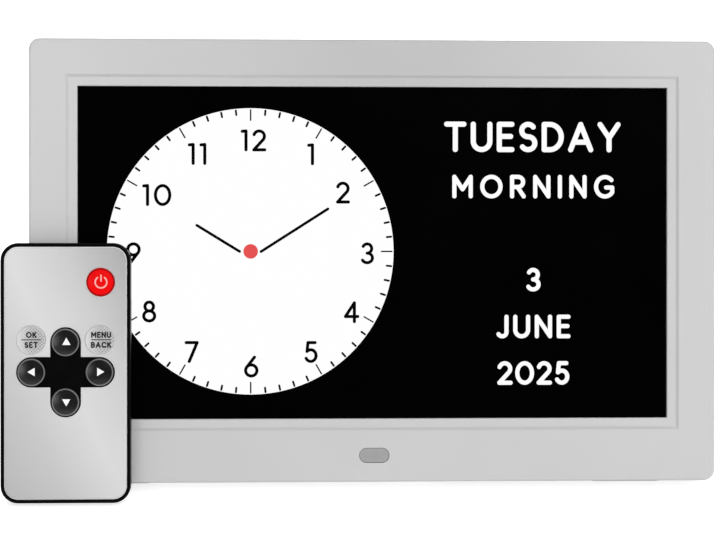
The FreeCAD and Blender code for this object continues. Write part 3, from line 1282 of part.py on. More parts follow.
def make_remote_shells():
    top = Piece("remote_top_case", REMOTE)
    top.add("front", remote_front, remote_split, remote_outline(0.0))
    top.round(s.remote_edge, lambda p: near(p.y, remote_front))
    top.cut("front", deck_back, remote_split, remote_outline(s.remote_wall))
    top.cut("front", remote_front, plate_back, remote_outline(s.remote_rim))
    for arm in cross_arms(0.0):
        top.add("front", plate_front - s.cross_proud, plate_back + s.fit_gap, arm)
    top.cut("front", remote_front - s.fit_gap, deck_back, *key_circles(s.small_key_gap))
    top.cut("top", -s.fit_gap, s.remote_wall + s.fit_gap, tray_slot())
    top.cut("top", s.remote_height - s.remote_wall - s.fit_gap, s.remote_height,
            circle(0.0, led_y, s.led_width + 2 * s.hole_gap))

    back = Piece("remote_back_case", REMOTE)
    back.add("front", remote_split, 0.0, remote_outline(0.0))
    back.round(s.remote_edge, lambda p: near(p.y, 0))
    back.cut("front", remote_split, -s.remote_wall, remote_outline(s.remote_wall))
    slot = half_tray + s.tray_gap
    back.cut("front", remote_split, -s.tray_back,
             box(-slot, s.remote_wall - s.fit_gap, slot, s.tray_length + s.tray_sunk + s.fit_gap))
    for side in (-1, 1):
        first, last = (slot, slot + s.tray_rail) if side > 0 else (-slot - s.tray_rail, -slot)
        back.add("front", tray_front, -s.remote_wall + s.fit_gap,
                 box(first, s.remote_wall, last, s.tray_length + s.tray_sunk))
    back.cut("top", -s.fit_gap, s.remote_wall + s.fit_gap, tray_slot())
    back.cut("top", s.remote_height - s.remote_wall - s.fit_gap, s.remote_height,
             circle(0.0, led_y, s.led_width + 2 * s.hole_gap))


def tray_slot():
    slot = half_tray + s.tray_gap
    return box(-slot, tray_front - s.tray_gap, slot, tray_rear + s.tray_gap)


def make_remote_faceplate():
    plate = Piece("remote_faceplate", REMOTE)
    plate.add("front", plate_front, plate_back, remote_outline(s.remote_rim + s.plate_gap))
    for arm in cross_arms(s.plate_gap):
        plate.cut("front", plate_front, plate_back, arm)
    plate.cut("front", plate_front, plate_back, *key_circles(s.small_key_gap, ("power", "ok", "menu")))


def make_remote_inside():
    board = Piece("remote_board", REMOTE)
    side = half_remote - s.remote_wall - s.fit_gap
    board.add("front", remote_board_front, remote_board_back,
              box(-side, s.remote_board_low, side, remote_board_high))

    domes = Piece("remote_domes", REMOTE)
    for _, x, z in REMOTE_KEYS:
        domes.add("front", remote_board_front - s.dome_height, remote_board_front, circle(x, z, s.dome_width))
    domes.chamfer(s.dome_bevel, lambda p: near(p.y, remote_board_front - s.dome_height))

    chip = Piece("remote_chip", REMOTE)
    size = s.switch_size / 2
    chip.add("front", remote_board_back, remote_board_back + s.thin_board,
             box(-size, side_key_rise - size, size, side_key_rise + size))

    lamp = Piece("remote_ir_led", REMOTE)
    tip = s.remote_height - s.fit_gap
    radius = s.led_width / 2
    foot = tip - s.led_length - radius
    lamp.add("top", foot, tip, circle(0.0, led_y, s.led_width))
    lamp.round(radius - s.key_slack, lambda p: near(p.z, tip))
    lamp.add("top", foot, foot + s.thin_board, circle(0.0, led_y, s.led_width + s.thin_board))
    for x in (-radius / 2, radius / 2):
        lamp.add("top", remote_board_high - s.contact_width, foot,
                 box(x - s.contact_sheet, remote_board_back, x + s.contact_sheet,
                     remote_board_back + 2 * s.contact_sheet))

    contacts = Piece("remote_contacts", REMOTE)
    for x in (-s.coin_width / 4, s.coin_width / 4):
        contacts.add("front", tray_front - s.tray_gap - s.contact_sheet, tray_front - s.tray_gap,
                     box(x - s.contact_width / 2, s.remote_board_low - s.contact_reach,
                         x + s.contact_width / 2, s.remote_board_low))
        contacts.add("top", s.remote_board_low - s.contact_sheet, s.remote_board_low,
                     box(x - s.contact_width / 2, tray_front - s.tray_gap - s.contact_sheet,
                         x + s.contact_width / 2, remote_board_back))


def make_remote_key(name, x, z):
    key = Piece(f"remote_key_{name}", REMOTE)
    cap = s.small_key_width / 2
    flange = cap + s.small_key_flange
    edge = remote_front - s.small_key_proud
    key.turn("top", z, x,
             ((0, edge - s.small_key_crown), (cap - s.small_key_crown, edge - s.key_slack),
              (cap, edge + s.small_key_crown), (cap, small_flange_front), (flange, small_flange_front),
              (flange, small_flange_back), (s.small_key_stem / 2, small_flange_back),
              (s.small_key_stem / 2, stem_back), (0, stem_back)))


def make_battery_tray():
    tray = Piece("battery_tray", REMOTE)
    low = s.tray_sunk
    high = low + s.tray_length
    tray.add("front", tray_front, tray_rear, box(-half_tray, low, half_tray, high))
    hollow = s.coin_width + 2 * s.fit_gap
    middle = low + s.coin_rise
    tray.cut("front", tray_front, tray_front + s.coin_height + s.key_slack, circle(0.0, middle, hollow))
    grip = s.tray_groove
    starts = [low + grip * (2 * k + 1) for k in range(int(number(s.tray_grooves)))]
    tray.cut("front", tray_rear - grip, tray_rear,
             *[box(-half_tray / 2, start, half_tray / 2, start + grip) for start in starts])

    cell = Piece("remote_coin_cell", REMOTE)
    cell.add("front", tray_front, tray_front + s.coin_height, circle(0.0, middle, s.coin_width))
    cell.chamfer(s.fit_gap, lambda p: near(p.y, tray_front))


# ---------------------------------------------------------------- the whole object
def make_everything():
    make_front_bezel()
    make_rear_cover()
    make_rubber_feet()
    make_screen_module()
    make_receiver()
    make_main_board()
    make_backup_cell()
    make_lead_sockets()
    make_power_jack()
    make_usb_socket()
    make_card_socket()
    make_speaker()
    make_key_board()
    for name, x in zip(REAR_KEYS, REAR_KEY_X):
        make_rear_key(name, x)
    make_leads()
    make_leg()
    make_leg_foot()
    make_hinge_pin()
    make_screws()
    make_remote_shells()
    make_remote_faceplate()
    make_remote_inside()
    for name, x, z in REMOTE_KEYS:
        make_remote_key(name, x, z)
    make_battery_tray()


def write_parts():
    """Writes each piece to its own STEP file, once every object and every shape is sound."""
    doc.recompute()
    for item in doc.Objects:
        if "Invalid" in item.State or "Error" in item.State:
            raise RuntimeError(f"{item.Label} failed: {item.State}")
    for piece in pieces:
        shape = piece.body.Shape
        if shape.isNull() or not shape.isValid() or not shape.Solids:
            raise RuntimeError(f"{piece.body.Label} has no sound shape")
    os.makedirs("parts", exist_ok=True)
    for piece in pieces:
        piece.body.Shape.exportStep(os.path.join("parts", piece.body.Label + ".step"))


make_everything()
write_parts()
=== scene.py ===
import json
import math

import bmesh
import bpy
import numpy as np
from mathutils import Matrix, Vector


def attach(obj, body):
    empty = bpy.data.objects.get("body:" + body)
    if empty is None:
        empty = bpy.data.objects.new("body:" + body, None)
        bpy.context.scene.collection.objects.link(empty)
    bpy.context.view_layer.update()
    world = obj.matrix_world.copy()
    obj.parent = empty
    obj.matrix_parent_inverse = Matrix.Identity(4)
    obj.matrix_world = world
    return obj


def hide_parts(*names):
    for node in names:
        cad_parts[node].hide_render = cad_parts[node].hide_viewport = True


bl_info = {
    "name": "Day Clock",
    "version": (1, 0, 0),
    "blender": (4, 5, 0),
    "location": "View3D > Sidebar > Day Clock",
    "description": "Dresses the day clock: screen picture, keys, marks, finishes and studio",
    "category": "Add Mesh",
}

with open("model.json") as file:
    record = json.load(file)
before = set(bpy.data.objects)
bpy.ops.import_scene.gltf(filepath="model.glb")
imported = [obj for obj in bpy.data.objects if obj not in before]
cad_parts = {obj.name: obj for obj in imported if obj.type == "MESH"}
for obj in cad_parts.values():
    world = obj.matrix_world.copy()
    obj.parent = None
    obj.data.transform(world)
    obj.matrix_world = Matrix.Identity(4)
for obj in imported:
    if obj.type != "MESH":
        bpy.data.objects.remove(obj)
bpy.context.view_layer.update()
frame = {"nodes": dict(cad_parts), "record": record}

MM = 0.001


# ---- leaning frames
class Slope:
    """A frame that leans back: x to the right, y to the rear and z up its own face, in millimetres."""

    def __init__(self, origin, degrees):
        self.origin = np.asarray(origin, float)
        c, s = math.cos(math.radians(degrees)), math.sin(math.radians(degrees))
        self.turn = np.array([[1, 0, 0], [0, c, s], [0, -s, c]])

    def world(self, points):
        """Points of this frame, in millimetres, as points of the row frame, in metres."""
        return (np.asarray(points, float) @ self.turn.T + self.origin) * MM

    def own(self, points):
        """Points of the row frame, in metres, as points of this frame, in millimetres."""
        return (np.asarray(points, float) / MM - self.origin) @ self.turn


# how far the clock and the remote lean back, in degrees
LEAN = 14.0
# in the clock's frame: the right keyhole, and the middle of the remote's lower end on its back
KEYHOLE = (62.0, 19.0, 99.0)
REMOTE_ORIGIN = (-91.5, -0.3, -5.21)


def clock_slope():
    """The clock's own frame, found from its right keyhole, whose place in that frame is known."""
    mount = next(m for m in frame["record"]["mounts"] if m["name"] == "keyhole_right")
    keyhole = Slope((0, 0, 0), LEAN).turn @ KEYHOLE
    return Slope(np.array(mount["pos_m"]) / MM - keyhole, LEAN)


CLOCK = clock_slope()
REMOTE = Slope(CLOCK.world(REMOTE_ORIGIN) / MM, LEAN)

# in the clock's frame: the depth of the glass's front, and the middles of the dial and of the words
GLASS = 2.4
DIAL_X, DIAL_Z = -36.97, 69.1
WORDS_X = 48.2
# in the remote's frame: each key's name, x and z, and the depth of the front
REMOTE_KEYS = (("power", 10.3, 65.2), ("ok", -10.05, 48.2), ("menu", 10.05, 48.2), ("up", 0.0, 47.45),
               ("down", 0.0, 29.85), ("left", -10.0, 38.65), ("right", 10.0, 38.65))
REMOTE_FACE = -6.8
# in the clock's frame: the name and x of each key on the back, their height and the depth of their tops
REAR_KEYS = (("right", 22.0), ("down", 34.5), ("up", 47.0), ("left", 59.5), ("menu", 72.0), ("power", 84.5))
REAR_KEY_Z, REAR_KEY_TOP = 117.0, 21.2


# ---- colours and nodes
# a Mix node that blends colours: its inputs, and its output and setting
FACTOR, FIRST, SECOND = 0, 6, 7
BLEND = {"out": 2, "data_type": "RGBA"}
# a wave texture of scale WAVE / p repeats every p millimetres
WAVE = math.pi / 10


def linear(hex_colour):
    """An sRGB hex value as linear red, green, blue and a full alpha."""
    srgb = np.array([int(hex_colour[k:k + 2], 16) for k in (1, 3, 5)]) / 255
    rgb = np.where(srgb <= 0.04045, srgb / 12.92, ((srgb + 0.055) / 1.055) ** 2.4)
    return (*rgb.tolist(), 1.0)


def add(tree, kind, inputs=None, out=0, **settings):
    """Adds a node with its settings and gives one output; an input is a value or the socket that feeds it."""
    node = tree.nodes.new("ShaderNode" + kind)
    for name, value in settings.items():
        setattr(node, name, value)
    for name, value in (inputs or {}).items():
        if isinstance(value, bpy.types.NodeSocket):
            tree.links.new(value, node.inputs[name])
        else:
            node.inputs[name].default_value = value
    return node.outputs[out] if len(node.outputs) else None


def new_material(name):
    """A material with an empty node tree, and its Object coordinates turned into millimetres."""
    made = bpy.data.materials.new(name)
    made.use_nodes = True
    tree = made.node_tree
    tree.nodes.clear()
    coords = add(tree, "TexCoord", out="Object")
    return made, tree, add(tree, "Mapping", {"Vector": coords, "Scale": (1 / MM, 1 / MM, 1 / MM)})


def shade(tree, inputs):
    """The one shader of a material and its output."""
    add(tree, "OutputMaterial", {"Surface": add(tree, "BsdfPrincipled", inputs)})


def blotches(tree, where, size, low, high):
    """Soft noise with spots about size millimetres across, between two values."""
    noise = add(tree, "TexNoise", {"Vector": where, "Scale": 1 / size, "Detail": 2.0})
    return add(tree, "MapRange", {"Value": noise, "From Min": 0.3, "From Max": 0.7,
                                  "To Min": low, "To Max": high})


def drift(tree, where, patch, first, second):
    """A colour that drifts between two over patches about patch millimetres across."""
    factor = blotches(tree, where, patch, 0.0, 1.0)
    return add(tree, "Mix", {FACTOR: factor, FIRST: first, SECOND: second}, **BLEND)


def grain(tree, where, size, height):
    """A bump from fine noise: size and height in millimetres."""
    noise = add(tree, "TexNoise", {"Vector": where, "Scale": 1 / size, "Detail": 1.0})
    return add(tree, "Bump", {"Height": noise, "Distance": height * MM, "Strength": 1.0})


def surface_finish(name, colour, other, patch, rough, rough_change, grain_size, grain_height, **shader):
    """A finish whose colour drifts between two over patches, with roughness and grain; made only once."""
    if name in bpy.data.materials:
        return bpy.data.materials[name]
    made, tree, where = new_material(name)
    shade(tree, {"Base Color": drift(tree, where, patch, linear(colour), linear(other)),
                 "Roughness": blotches(tree, where, patch / 3, rough - rough_change, rough + rough_change),
                 "Normal": grain(tree, where, grain_size, grain_height), **shader})
    return made


# ---- surfaces worked out with numpy
# edges that turn by more degrees than this stay sharp
SHARP = 35
# points on an arc of a stroke, and on its round end, which stops short of a quarter turn
ARC_POINTS, END_POINTS, END_TURN = 33, 8, 86
# how near a turned shape comes to its axis, in millimetres
AXIS = 0.001


def volume(points, faces):
    """Six times the signed volume inside a closed mesh of four-sided faces."""
    a, b, c, d = (points[faces[:, k]] for k in range(4))
    return float((np.cross(a, b) * c).sum() + (np.cross(a, c) * d).sum())


def wall_faces(rows, columns):
    """Four-sided faces between the rows of a grid whose columns close round on themselves."""
    near = np.arange(rows * columns).reshape(rows, columns)
    side = np.roll(near, -1, axis=1)
    return np.stack([near[:-1], side[:-1], side[1:], near[1:]], axis=-1).reshape(-1, 4)


def end_faces(start, columns):
    """Four-sided faces across a flat end, each between two pairs of opposite points of its ring."""
    ring, half = start + np.arange(columns), columns // 2
    back = ring[::-1]
    return np.stack([ring[:half - 1], ring[1:half], back[1:half], back[:half - 1]], axis=-1)


def in_scene(name, data):
    """A new object of the scene."""
    made = bpy.data.objects.new(name, data)
    bpy.context.scene.collection.objects.link(made)
    return made


def solid_piece(name, body, patches, finish):
    """One object from closed tubes with flat ends: each patch is (rows, columns, 3) points in metres,
    its columns run round and its two end rows are closed. A tube that is inside out is turned."""
    points, faces, base = [], [], 0
    for patch in patches:
        rows, columns, _ = patch.shape
        own = np.concatenate([wall_faces(rows, columns), end_faces(0, columns)[:, ::-1],
                              end_faces((rows - 1) * columns, columns)])
        flat = patch.reshape(-1, 3)
        faces.append((own if volume(flat, own) > 0 else own[:, ::-1]) + base)
        points.append(flat)
        base += len(flat)
    mesh = bpy.data.meshes.new(name)
    mesh.from_pydata(np.concatenate(points), [], np.concatenate(faces).tolist())
    mesh.polygons.foreach_set("use_smooth", np.ones(len(mesh.polygons), bool))
    mesh.set_sharp_from_angle(angle=math.radians(SHARP))
    mesh.materials.append(finish)
    piece = in_scene(name, mesh)
    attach(piece, body)
    return piece


def line_points(stroke, size):
    """The points of a stroke: a pair is a corner, and (x, z, rx, rz, start, end) is an arc, whose angle a
    runs in degrees from start to end through the points (x + rx cos(a), z + rz sin(a))."""
    runs = []
    for part in stroke:
        if len(part) == 2:
            runs.append(np.array([part], float))
        else:
            x, z, rx, rz, start, end = part
            turn = np.radians(np.linspace(start, end, ARC_POINTS))
            runs.append(np.stack([x + rx * np.cos(turn), z + rz * np.sin(turn)], axis=-1))
    return np.concatenate(runs) * size


def ribbon(path, width, front, back, slope):
    """A flat stroke with round ends: a box section carried along a path. Across, the half-width is
    w/2 along the path and (w/2) cos(a) round each end, where a point lies (w/2) sin(a) past the end."""
    along = np.gradient(path, axis=0)
    along /= np.linalg.norm(along, axis=1, keepdims=True)
    bend = np.radians(np.linspace(0, END_TURN, END_POINTS))[1:]
    first = path[0] - along[0] * (width / 2 * np.sin(bend[::-1]))[:, None]
    last = path[-1] + along[-1] * (width / 2 * np.sin(bend))[:, None]
    spine = np.concatenate([first, path, last])
    tangent = np.concatenate([np.repeat(along[:1], len(bend), 0), along, np.repeat(along[-1:], len(bend), 0)])
    half = width / 2 * np.concatenate([np.cos(bend[::-1]), np.ones(len(path)), np.cos(bend)])
    side = np.stack([-tangent[:, 1], tangent[:, 0]], axis=-1) * half[:, None]
    left, right = spine + side, spine - side
    ring = [np.insert(edge, 1, depth, axis=1)
            for edge, depth in ((left, front), (right, front), (right, back), (left, back))]
    return slope.world(np.stack(ring, axis=1))


def turned(x, z, profile, slope, turns=96):
    """A turned shape: points (r, depth) carried round an axis along y, to (x + r cos(a), z + r sin(a))."""
    reach, depth = np.array(profile, float).T
    turn = np.linspace(0, 2 * np.pi, turns, endpoint=False)
    points = np.stack([x + reach[:, None] * np.cos(turn), np.repeat(depth[:, None], turns, 1),
                       z + reach[:, None] * np.sin(turn)], axis=-1)
    return slope.world(points)


def arrowhead(x, z, reach, turn, front, back, slope):
    """A flat triangle that points along an angle: its corners lie a reach from the middle, a third of a
    turn apart, and a fourth point halves the side between the last and the first."""
    angles = np.radians(turn + np.array([0, 120, 240]))
    corners = np.stack([x + reach * np.cos(angles), z + reach * np.sin(angles)], axis=-1)
    outline = np.concatenate([corners, corners[[2, 0]].mean(axis=0, keepdims=True)])
    return slope.world(np.stack([np.insert(outline, 1, depth, axis=1) for depth in (front, back)]))


# ---- letters and figures
# each is (width, strokes), in units of the height between the middles of its top and bottom strokes
LETTERS = {
    "A": (0.8, [[(0, 0), (0.4, 1)], [(0.4, 1), (0.8, 0)], [(0.14, 0.3), (0.66, 0.3)]]),
    "B": (0.58, [[(0, 0), (0, 1)], [(0, 1), (0.28, 1), (0.28, 0.76, 0.24, 0.24, 90, -90), (0, 0.52)],
                 [(0, 0.52), (0.3, 0.52), (0.3, 0.26, 0.28, 0.26, 90, -90), (0, 0)]]),
    "C": (0.78, [[(0.46, 0.5, 0.46, 0.5, 43, 317)]]),
    "D": (0.68, [[(0, 0), (0, 1)], [(0, 1), (0.22, 1), (0.22, 0.5, 0.46, 0.5, 90, -90), (0, 0)]]),
    "E": (0.5, [[(0, 0), (0, 1)], [(0, 1), (0.5, 1)], [(0, 0.52), (0.45, 0.52)], [(0, 0), (0.5, 0)]]),
    "G": (0.84, [[(0.46, 0.5, 0.46, 0.5, 43, 325)], [(0.837, 0.213), (0.837, 0.46)],
                 [(0.837, 0.46), (0.52, 0.46)]]),
    "I": (0.0, [[(0, 0), (0, 1)]]),
    "J": (0.42, [[(0.42, 1), (0.42, 0.23), (0.2, 0.22, 0.22, 0.22, 0, -150)]]),
    "K": (0.6, [[(0, 0), (0, 1)], [(0.58, 1), (0, 0.4)], [(0.22, 0.61), (0.6, 0)]]),
    "M": (0.84, [[(0, 0), (0, 1)], [(0, 1), (0.42, 0.36)], [(0.42, 0.36), (0.84, 1)],
                 [(0.84, 1), (0.84, 0)]]),
    "N": (0.68, [[(0, 0), (0, 1)], [(0, 1), (0.68, 0)], [(0.68, 0), (0.68, 1)]]),
    "O": (0.94, [[(0.47, 0.5, 0.47, 0.5, 0, 360)]]),
    "R": (0.6, [[(0, 0), (0, 1)], [(0, 1), (0.3, 1), (0.3, 0.74, 0.27, 0.26, 90, -90), (0, 0.48)],
                 [(0.28, 0.48), (0.6, 0)]]),
    "S": (0.54, [[(0.27, 0.755, 0.25, 0.245, 35, 270), (0.27, 0.255, 0.27, 0.255, 90, -145)]]),
    "T": (0.68, [[(0, 1), (0.68, 1)], [(0.34, 1), (0.34, 0)]]),
    "U": (0.66, [[(0, 1), (0, 0.34), (0.33, 0.33, 0.33, 0.33, 180, 360), (0.66, 1)]]),
    "Y": (0.72, [[(0, 1), (0.36, 0.47)], [(0.72, 1), (0.36, 0.47)], [(0.36, 0.47), (0.36, 0)]]),
    "0": (0.76, [[(0.38, 0.5, 0.38, 0.5, 0, 360)]]),
    "1": (0.2, [[(0, 0.98), (0.2, 1)], [(0.2, 1), (0.2, 0)]]),
    "2": (0.58, [[(0.28, 0.72, 0.28, 0.28, 162, -40), (0, 0)], [(0, 0), (0.58, 0)]]),
    "3": (0.55, [[(0.26, 0.755, 0.24, 0.245, 152, -90)], [(0.26, 0.255, 0.28, 0.255, 90, -152)]]),
    "4": (0.66, [[(0.48, 1), (0, 0.27)], [(0, 0.27), (0.66, 0.27)], [(0.48, 1), (0.48, 0)]]),
    "5": (0.56, [[(0.12, 1), (0.5, 1)], [(0.12, 1), (0.072, 0.53)],
                 [(0.27, 0.31, 0.28, 0.31, 135, -152)]]),
    "6": (0.6, [[(0.3, 0.295, 0.3, 0.295, 0, 360)], [(0.47, 1), (0.054, 0.464)]]),
    "7": (0.58, [[(0, 1), (0.58, 1)], [(0.58, 1), (0.16, 0)]]),
    "8": (0.58, [[(0.29, 0.765, 0.225, 0.235, 0, 360)], [(0.29, 0.265, 0.29, 0.265, 0, 360)]]),
    "9": (0.6, [[(0.3, 0.705, 0.3, 0.295, 0, 360)], [(0.13, 0), (0.546, 0.536)]]),
}
# each stroke of a word lies this much before the last, so that no two faces fall together
STROKE_LIFT = 0.0006


def word(text, x, z, height, stroke, slope, front, back, gap=None, width=None):
    """Ribbons for a word centred on a point: height and stroke are those of a capital, outside; the gap
    between letters is given, or follows from the word's whole width."""
    size = height - stroke
    widths = [LETTERS[letter][0] * size for letter in text]
    if width is not None and len(text) > 1:
        gap = (width - stroke - sum(widths)) / (len(text) - 1)
    gap = gap or 0.0
    left = x - (sum(widths) + gap * (len(text) - 1)) / 2
    ribbons, lift = [], 0.0
    for letter, wide in zip(text, widths):
        for part in LETTERS[letter][1]:
            path = line_points(part, size) + (left, z - size / 2)
            ribbons.append(ribbon(path, stroke, front - lift, back, slope))
            lift += STROKE_LIFT
        left += wide + gap
    return ribbons


# ---- what a user would change
def length(name, description, default):
    """A size in metres, given in millimetres."""
    return bpy.props.FloatProperty(name=name, description=description, default=default * MM, min=0.0,
                                   precision=5, unit="LENGTH")


def colour(name, description, hex_colour):
    """A linear colour, given as an sRGB hex value."""
    return bpy.props.FloatVectorProperty(name=name, description=description, default=linear(hex_colour),
                                         min=0.0, max=1.0, size=4, subtype="COLOR")


class PictureSizes(bpy.types.PropertyGroup):
    dial_radius: length("Dial radius", "Radius of the white dial on the screen", 42.9)
    hour_tick: length("Hour tick", "Length of the marks at the hours", 3.1)
    hour_tick_width: length("Hour tick width", "Width of the marks at the hours", 0.44)
    minute_tick: length("Minute tick", "Length of the marks at the minutes", 1.3)
    minute_tick_width: length("Minute tick width", "Width of the marks at the minutes", 0.62)
    figure_height: length("Figure height", "Height of the dial's figures", 6.6)
    figure_stroke: length("Figure stroke", "Width of the figures' strokes", 0.96)
    hand_stroke: length("Hand width", "Width of both hands", 0.84)
    hub_radius: length("Hub radius", "Radius of the red dot over the hands", 2.18)
    day_height: length("Day height", "Height of the day's name", 9.15)
    day_stroke: length("Day stroke", "Width of the strokes of the day's name", 1.54)
    line_height: length("Line height", "Height of the lines under the day's name", 7.13)
    line_stroke: length("Line stroke", "Width of the strokes of those lines", 1.26)
    layer: length("Layer", "Thickness of one layer of the picture", 0.02)


class KeySizes(bpy.types.PropertyGroup):
    radius: length("Key radius", "Radius of the coloured keys", 4.1)
    crown: length("Crown", "How far a coloured key's middle stands above its shoulder", 0.25)
    shoulder: length("Shoulder", "Radius of the rounding round a coloured key", 0.5)
    silver_radius: length("Silver key radius", "Radius of the two silver keys", 4.18)
    silver_crown: length("Silver crown", "How far a silver key's middle stands above its shoulder", 0.15)
    silver_shoulder: length("Silver shoulder", "Radius of the rounding round a silver key", 0.2)
    mark_stroke: length("Mark stroke", "Width of the strokes of the marks", 0.45)
    label_height: length("Label height", "Height of the words on the two silver keys", 1.78)
    label_stroke: length("Label stroke", "Width of those words' strokes", 0.42)
    arrow_reach: length("Arrow reach", "Arrowheads, from their middle to a corner", 1.42)
    plate_edge: length("Plate edge", "Width of the bright edge round the face plate", 0.3)
    hole_edge: length("Hole edge", "Width of the bright edge round the plate's openings", 0.1)


class Colours(bpy.types.PropertyGroup):
    case: colour("Case", "Moulded case", "#CBCBCB")
    picture_white: colour("Picture white", "Dial and words on the screen", "#FFFFFF")
    picture_red: colour("Picture red", "Dot over the hands", "#E65352")
    power_key: colour("Power key", "Remote's power key", "#F60004")
    silver_key: colour("Silver keys", "Remote's two silver keys", "#CACACA")
    floor: colour("Floor", "Studio floor", "#F4F4F4")


GROUPS = {"picture_sizes": PictureSizes, "key_sizes": KeySizes, "clock_colours": Colours}


def picture():
    """The sizes of the picture on the screen."""
    return bpy.context.scene.picture_sizes


def keys():
    """The sizes of the remote's keys and marks."""
    return bpy.context.scene.key_sizes


def colours():
    """The colours that a user would change."""
    return bpy.context.scene.clock_colours


# ---- finishes
def moulded_abs():
    """Light grey ABS moulded in a lightly sparked tool: a soft half gloss whose fine grain only breaks up
    the edges of reflections. The grey is painted a little darker round a point at the case's upper middle,
    as painted shade, and drifts very slightly elsewhere."""
    made, tree, where = new_material("Moulded light grey ABS")
    # painted shade: the grey darkens to #BEBEBE towards this point at the case's upper middle
    painted_shade_centre, near, far = CLOCK.world((8.0, 4.0, 132.0)) / MM, 15.0, 100.0
    away = add(tree, "VectorMath", {0: where, 1: painted_shade_centre}, "Value", operation="DISTANCE")
    painted_shade = add(tree, "MapRange", {"Value": away, "From Min": near, "From Max": far})
    plain = drift(tree, where, 60.0, colours().case[:], linear("#CFCFCF"))
    grey = add(tree, "Mix", {FACTOR: painted_shade, FIRST: linear("#BEBEBE"), SECOND: plain}, **BLEND)
    shade(tree, {"Base Color": grey, "Roughness": blotches(tree, where, 18.0, 0.36, 0.44),
                 "Normal": grain(tree, where, 0.5, 0.003), "IOR": 1.5})
    return made


def lit_pixels(kind):
    """Pixels of a lit panel, white or red: the colour comes from behind, in columns that differ very
    little. Real columns are 0.17 mm apart, too fine to show, and are drawn 0.35 mm apart."""
    name, tone = f"Lit {kind} pixels", getattr(colours(), "picture_" + kind)[:]
    if name in bpy.data.materials:
        return bpy.data.materials[name]
    made, tree, where = new_material(name)
    columns = add(tree, "TexWave", {"Vector": where, "Scale": WAVE / 0.35}, "Fac")
    darker = tuple(0.985 * c for c in tone[:3]) + (1.0,)
    glow = add(tree, "Mix", {FACTOR: columns, FIRST: darker, SECOND: tone}, **BLEND)
    shade(tree, {"Base Color": (0, 0, 0, 1), "Roughness": 0.3, "IOR": 1.08, "Emission Strength": 1.0,
                 "Emission Color": glow})
    return made


def face_plane(tree, where, slope):
    """Millimetres across and up a leaning face, as a flat vector."""
    across, up = (add(tree, "VectorMath", {0: where, 1: slope.turn @ way}, "Value", operation="DOT_PRODUCT")
                  for way in ((1, 0, 0), (0, 0, 1)))
    return add(tree, "CombineXYZ", {"X": across, "Y": up})


def silver_film():
    """Silver vacuum-coated film on the remote: a satin sheet with a painted sheen, lightest along one
    diagonal and darker towards two corners, with hair lines 0.1 mm wide, drawn 0.4 mm wide so that they show."""
    made, tree, where = new_material("Satin silver film")
    # painted sheen: a ramp of greys across this diagonal stands in for light reflected by the film
    diagonal, reach = REMOTE.turn @ (0.894, 0.0, 0.447), 32.0
    middle = float(diagonal @ REMOTE.world((0, 0, 38.4))) / MM
    along = add(tree, "VectorMath", {0: where, 1: diagonal}, "Value", operation="DOT_PRODUCT")
    span = add(tree, "MapRange", {"Value": along, "From Min": middle - reach, "From Max": middle + reach})
    painted_sheen = add(tree, "ValToRGB", {"Fac": span})
    stops = painted_sheen.node.color_ramp.elements
    stops[0].color, stops[1].color = linear("#BBBBBB"), linear("#ADADAD")
    for place, tone in ((0.25, "#CACACA"), (0.5, "#DEDEDE"), (0.74, "#CECECE")):
        stops.new(place).color = linear(tone)
    line_width, line_length = 0.4, 12.0
    stretched = add(tree, "Mapping", {"Vector": face_plane(tree, where, REMOTE),
                                      "Scale": (1 / line_width, 1 / line_length, 1)})
    lines = add(tree, "TexNoise", {"Vector": stretched, "Scale": 1.0, "Detail": 2.0})
    shade(tree, {"Base Color": painted_sheen, "Metallic": 0.3, "Roughness": blotches(tree, where, 9.0, 0.46, 0.54),
                 "Normal": add(tree, "Bump", {"Height": lines, "Distance": 0.002 * MM})})
    return made


def stippled_lacquer():
    """Silver lacquer with a printed stipple: dots 0.3 mm apart, drawn 0.7 mm apart so that they show. Both
    the dots and the grey fade to a light silver towards the left, along the attribute side: a painted
    highlight."""
    made, tree, where = new_material("Stippled silver lacquer")
    turned_grid = add(tree, "Mapping", {"Vector": face_plane(tree, where, REMOTE),
                                        "Rotation": (0, 0, math.radians(45))})
    dots = add(tree, "TexVoronoi", {"Vector": turned_grid, "Scale": 1 / 0.7, "Randomness": 0.0},
               voronoi_dimensions="2D")
    edge = add(tree, "MapRange", {"Value": dots, "From Min": 0.24, "From Max": 0.36})
    dotted = add(tree, "Mix", {FACTOR: edge, FIRST: linear("#8C8C8C"), SECOND: colours().silver_key[:]},
                 **BLEND)
    # painted highlight: the left of each silver dome is lightened towards #DADADA
    side = add(tree, "Attribute", out="Fac", attribute_name="side")
    painted_highlight = add(tree, "MapRange", {"Value": side, "From Min": 0.0, "From Max": 0.55})
    silver = add(tree, "Mix", {FACTOR: painted_highlight, FIRST: linear("#DADADA"), SECOND: dotted}, **BLEND)
    shade(tree, {"Base Color": silver, "Metallic": 0.25, "Roughness": blotches(tree, where, 3.0, 0.36, 0.44),
                 "Normal": grain(tree, where, 0.3, 0.002)})
    return made


def key_lacquer(name, first, second, painted_rim_tone, smoothest, roughest, gloss):
    """Lacquer on a domed key: a tone that drifts over spots of 4 mm, and another one round the shoulder,
    along the attribute rim, as painted light: a highlight on the black keys, shade on the red one."""
    made, tree, where = new_material(name)
    rim = add(tree, "Attribute", out="Fac", attribute_name="rim")
    tone = add(tree, "Mix", {FACTOR: rim, FIRST: drift(tree, where, 4.0, first, second), SECOND: painted_rim_tone},
               **BLEND)
    shade(tree, {"Base Color": tone, "Roughness": blotches(tree, where, 2.5, smoothest, roughest),
                 "Normal": grain(tree, where, 0.3, 0.001), "IOR": 1.5, "Specular IOR Level": gloss})
    return made


def black_lacquer():
    """Black lacquer over clear keys: a deep black with a soft sheen, and a pale line round the shoulder,
    which is a painted highlight."""
    # 6C6C6C round the shoulder: a painted highlight
    return key_lacquer("Lacquered black key", linear("#060606"), linear("#0C0C0C"), linear("#6C6C6C"),
                       0.2, 0.26, 0.45)


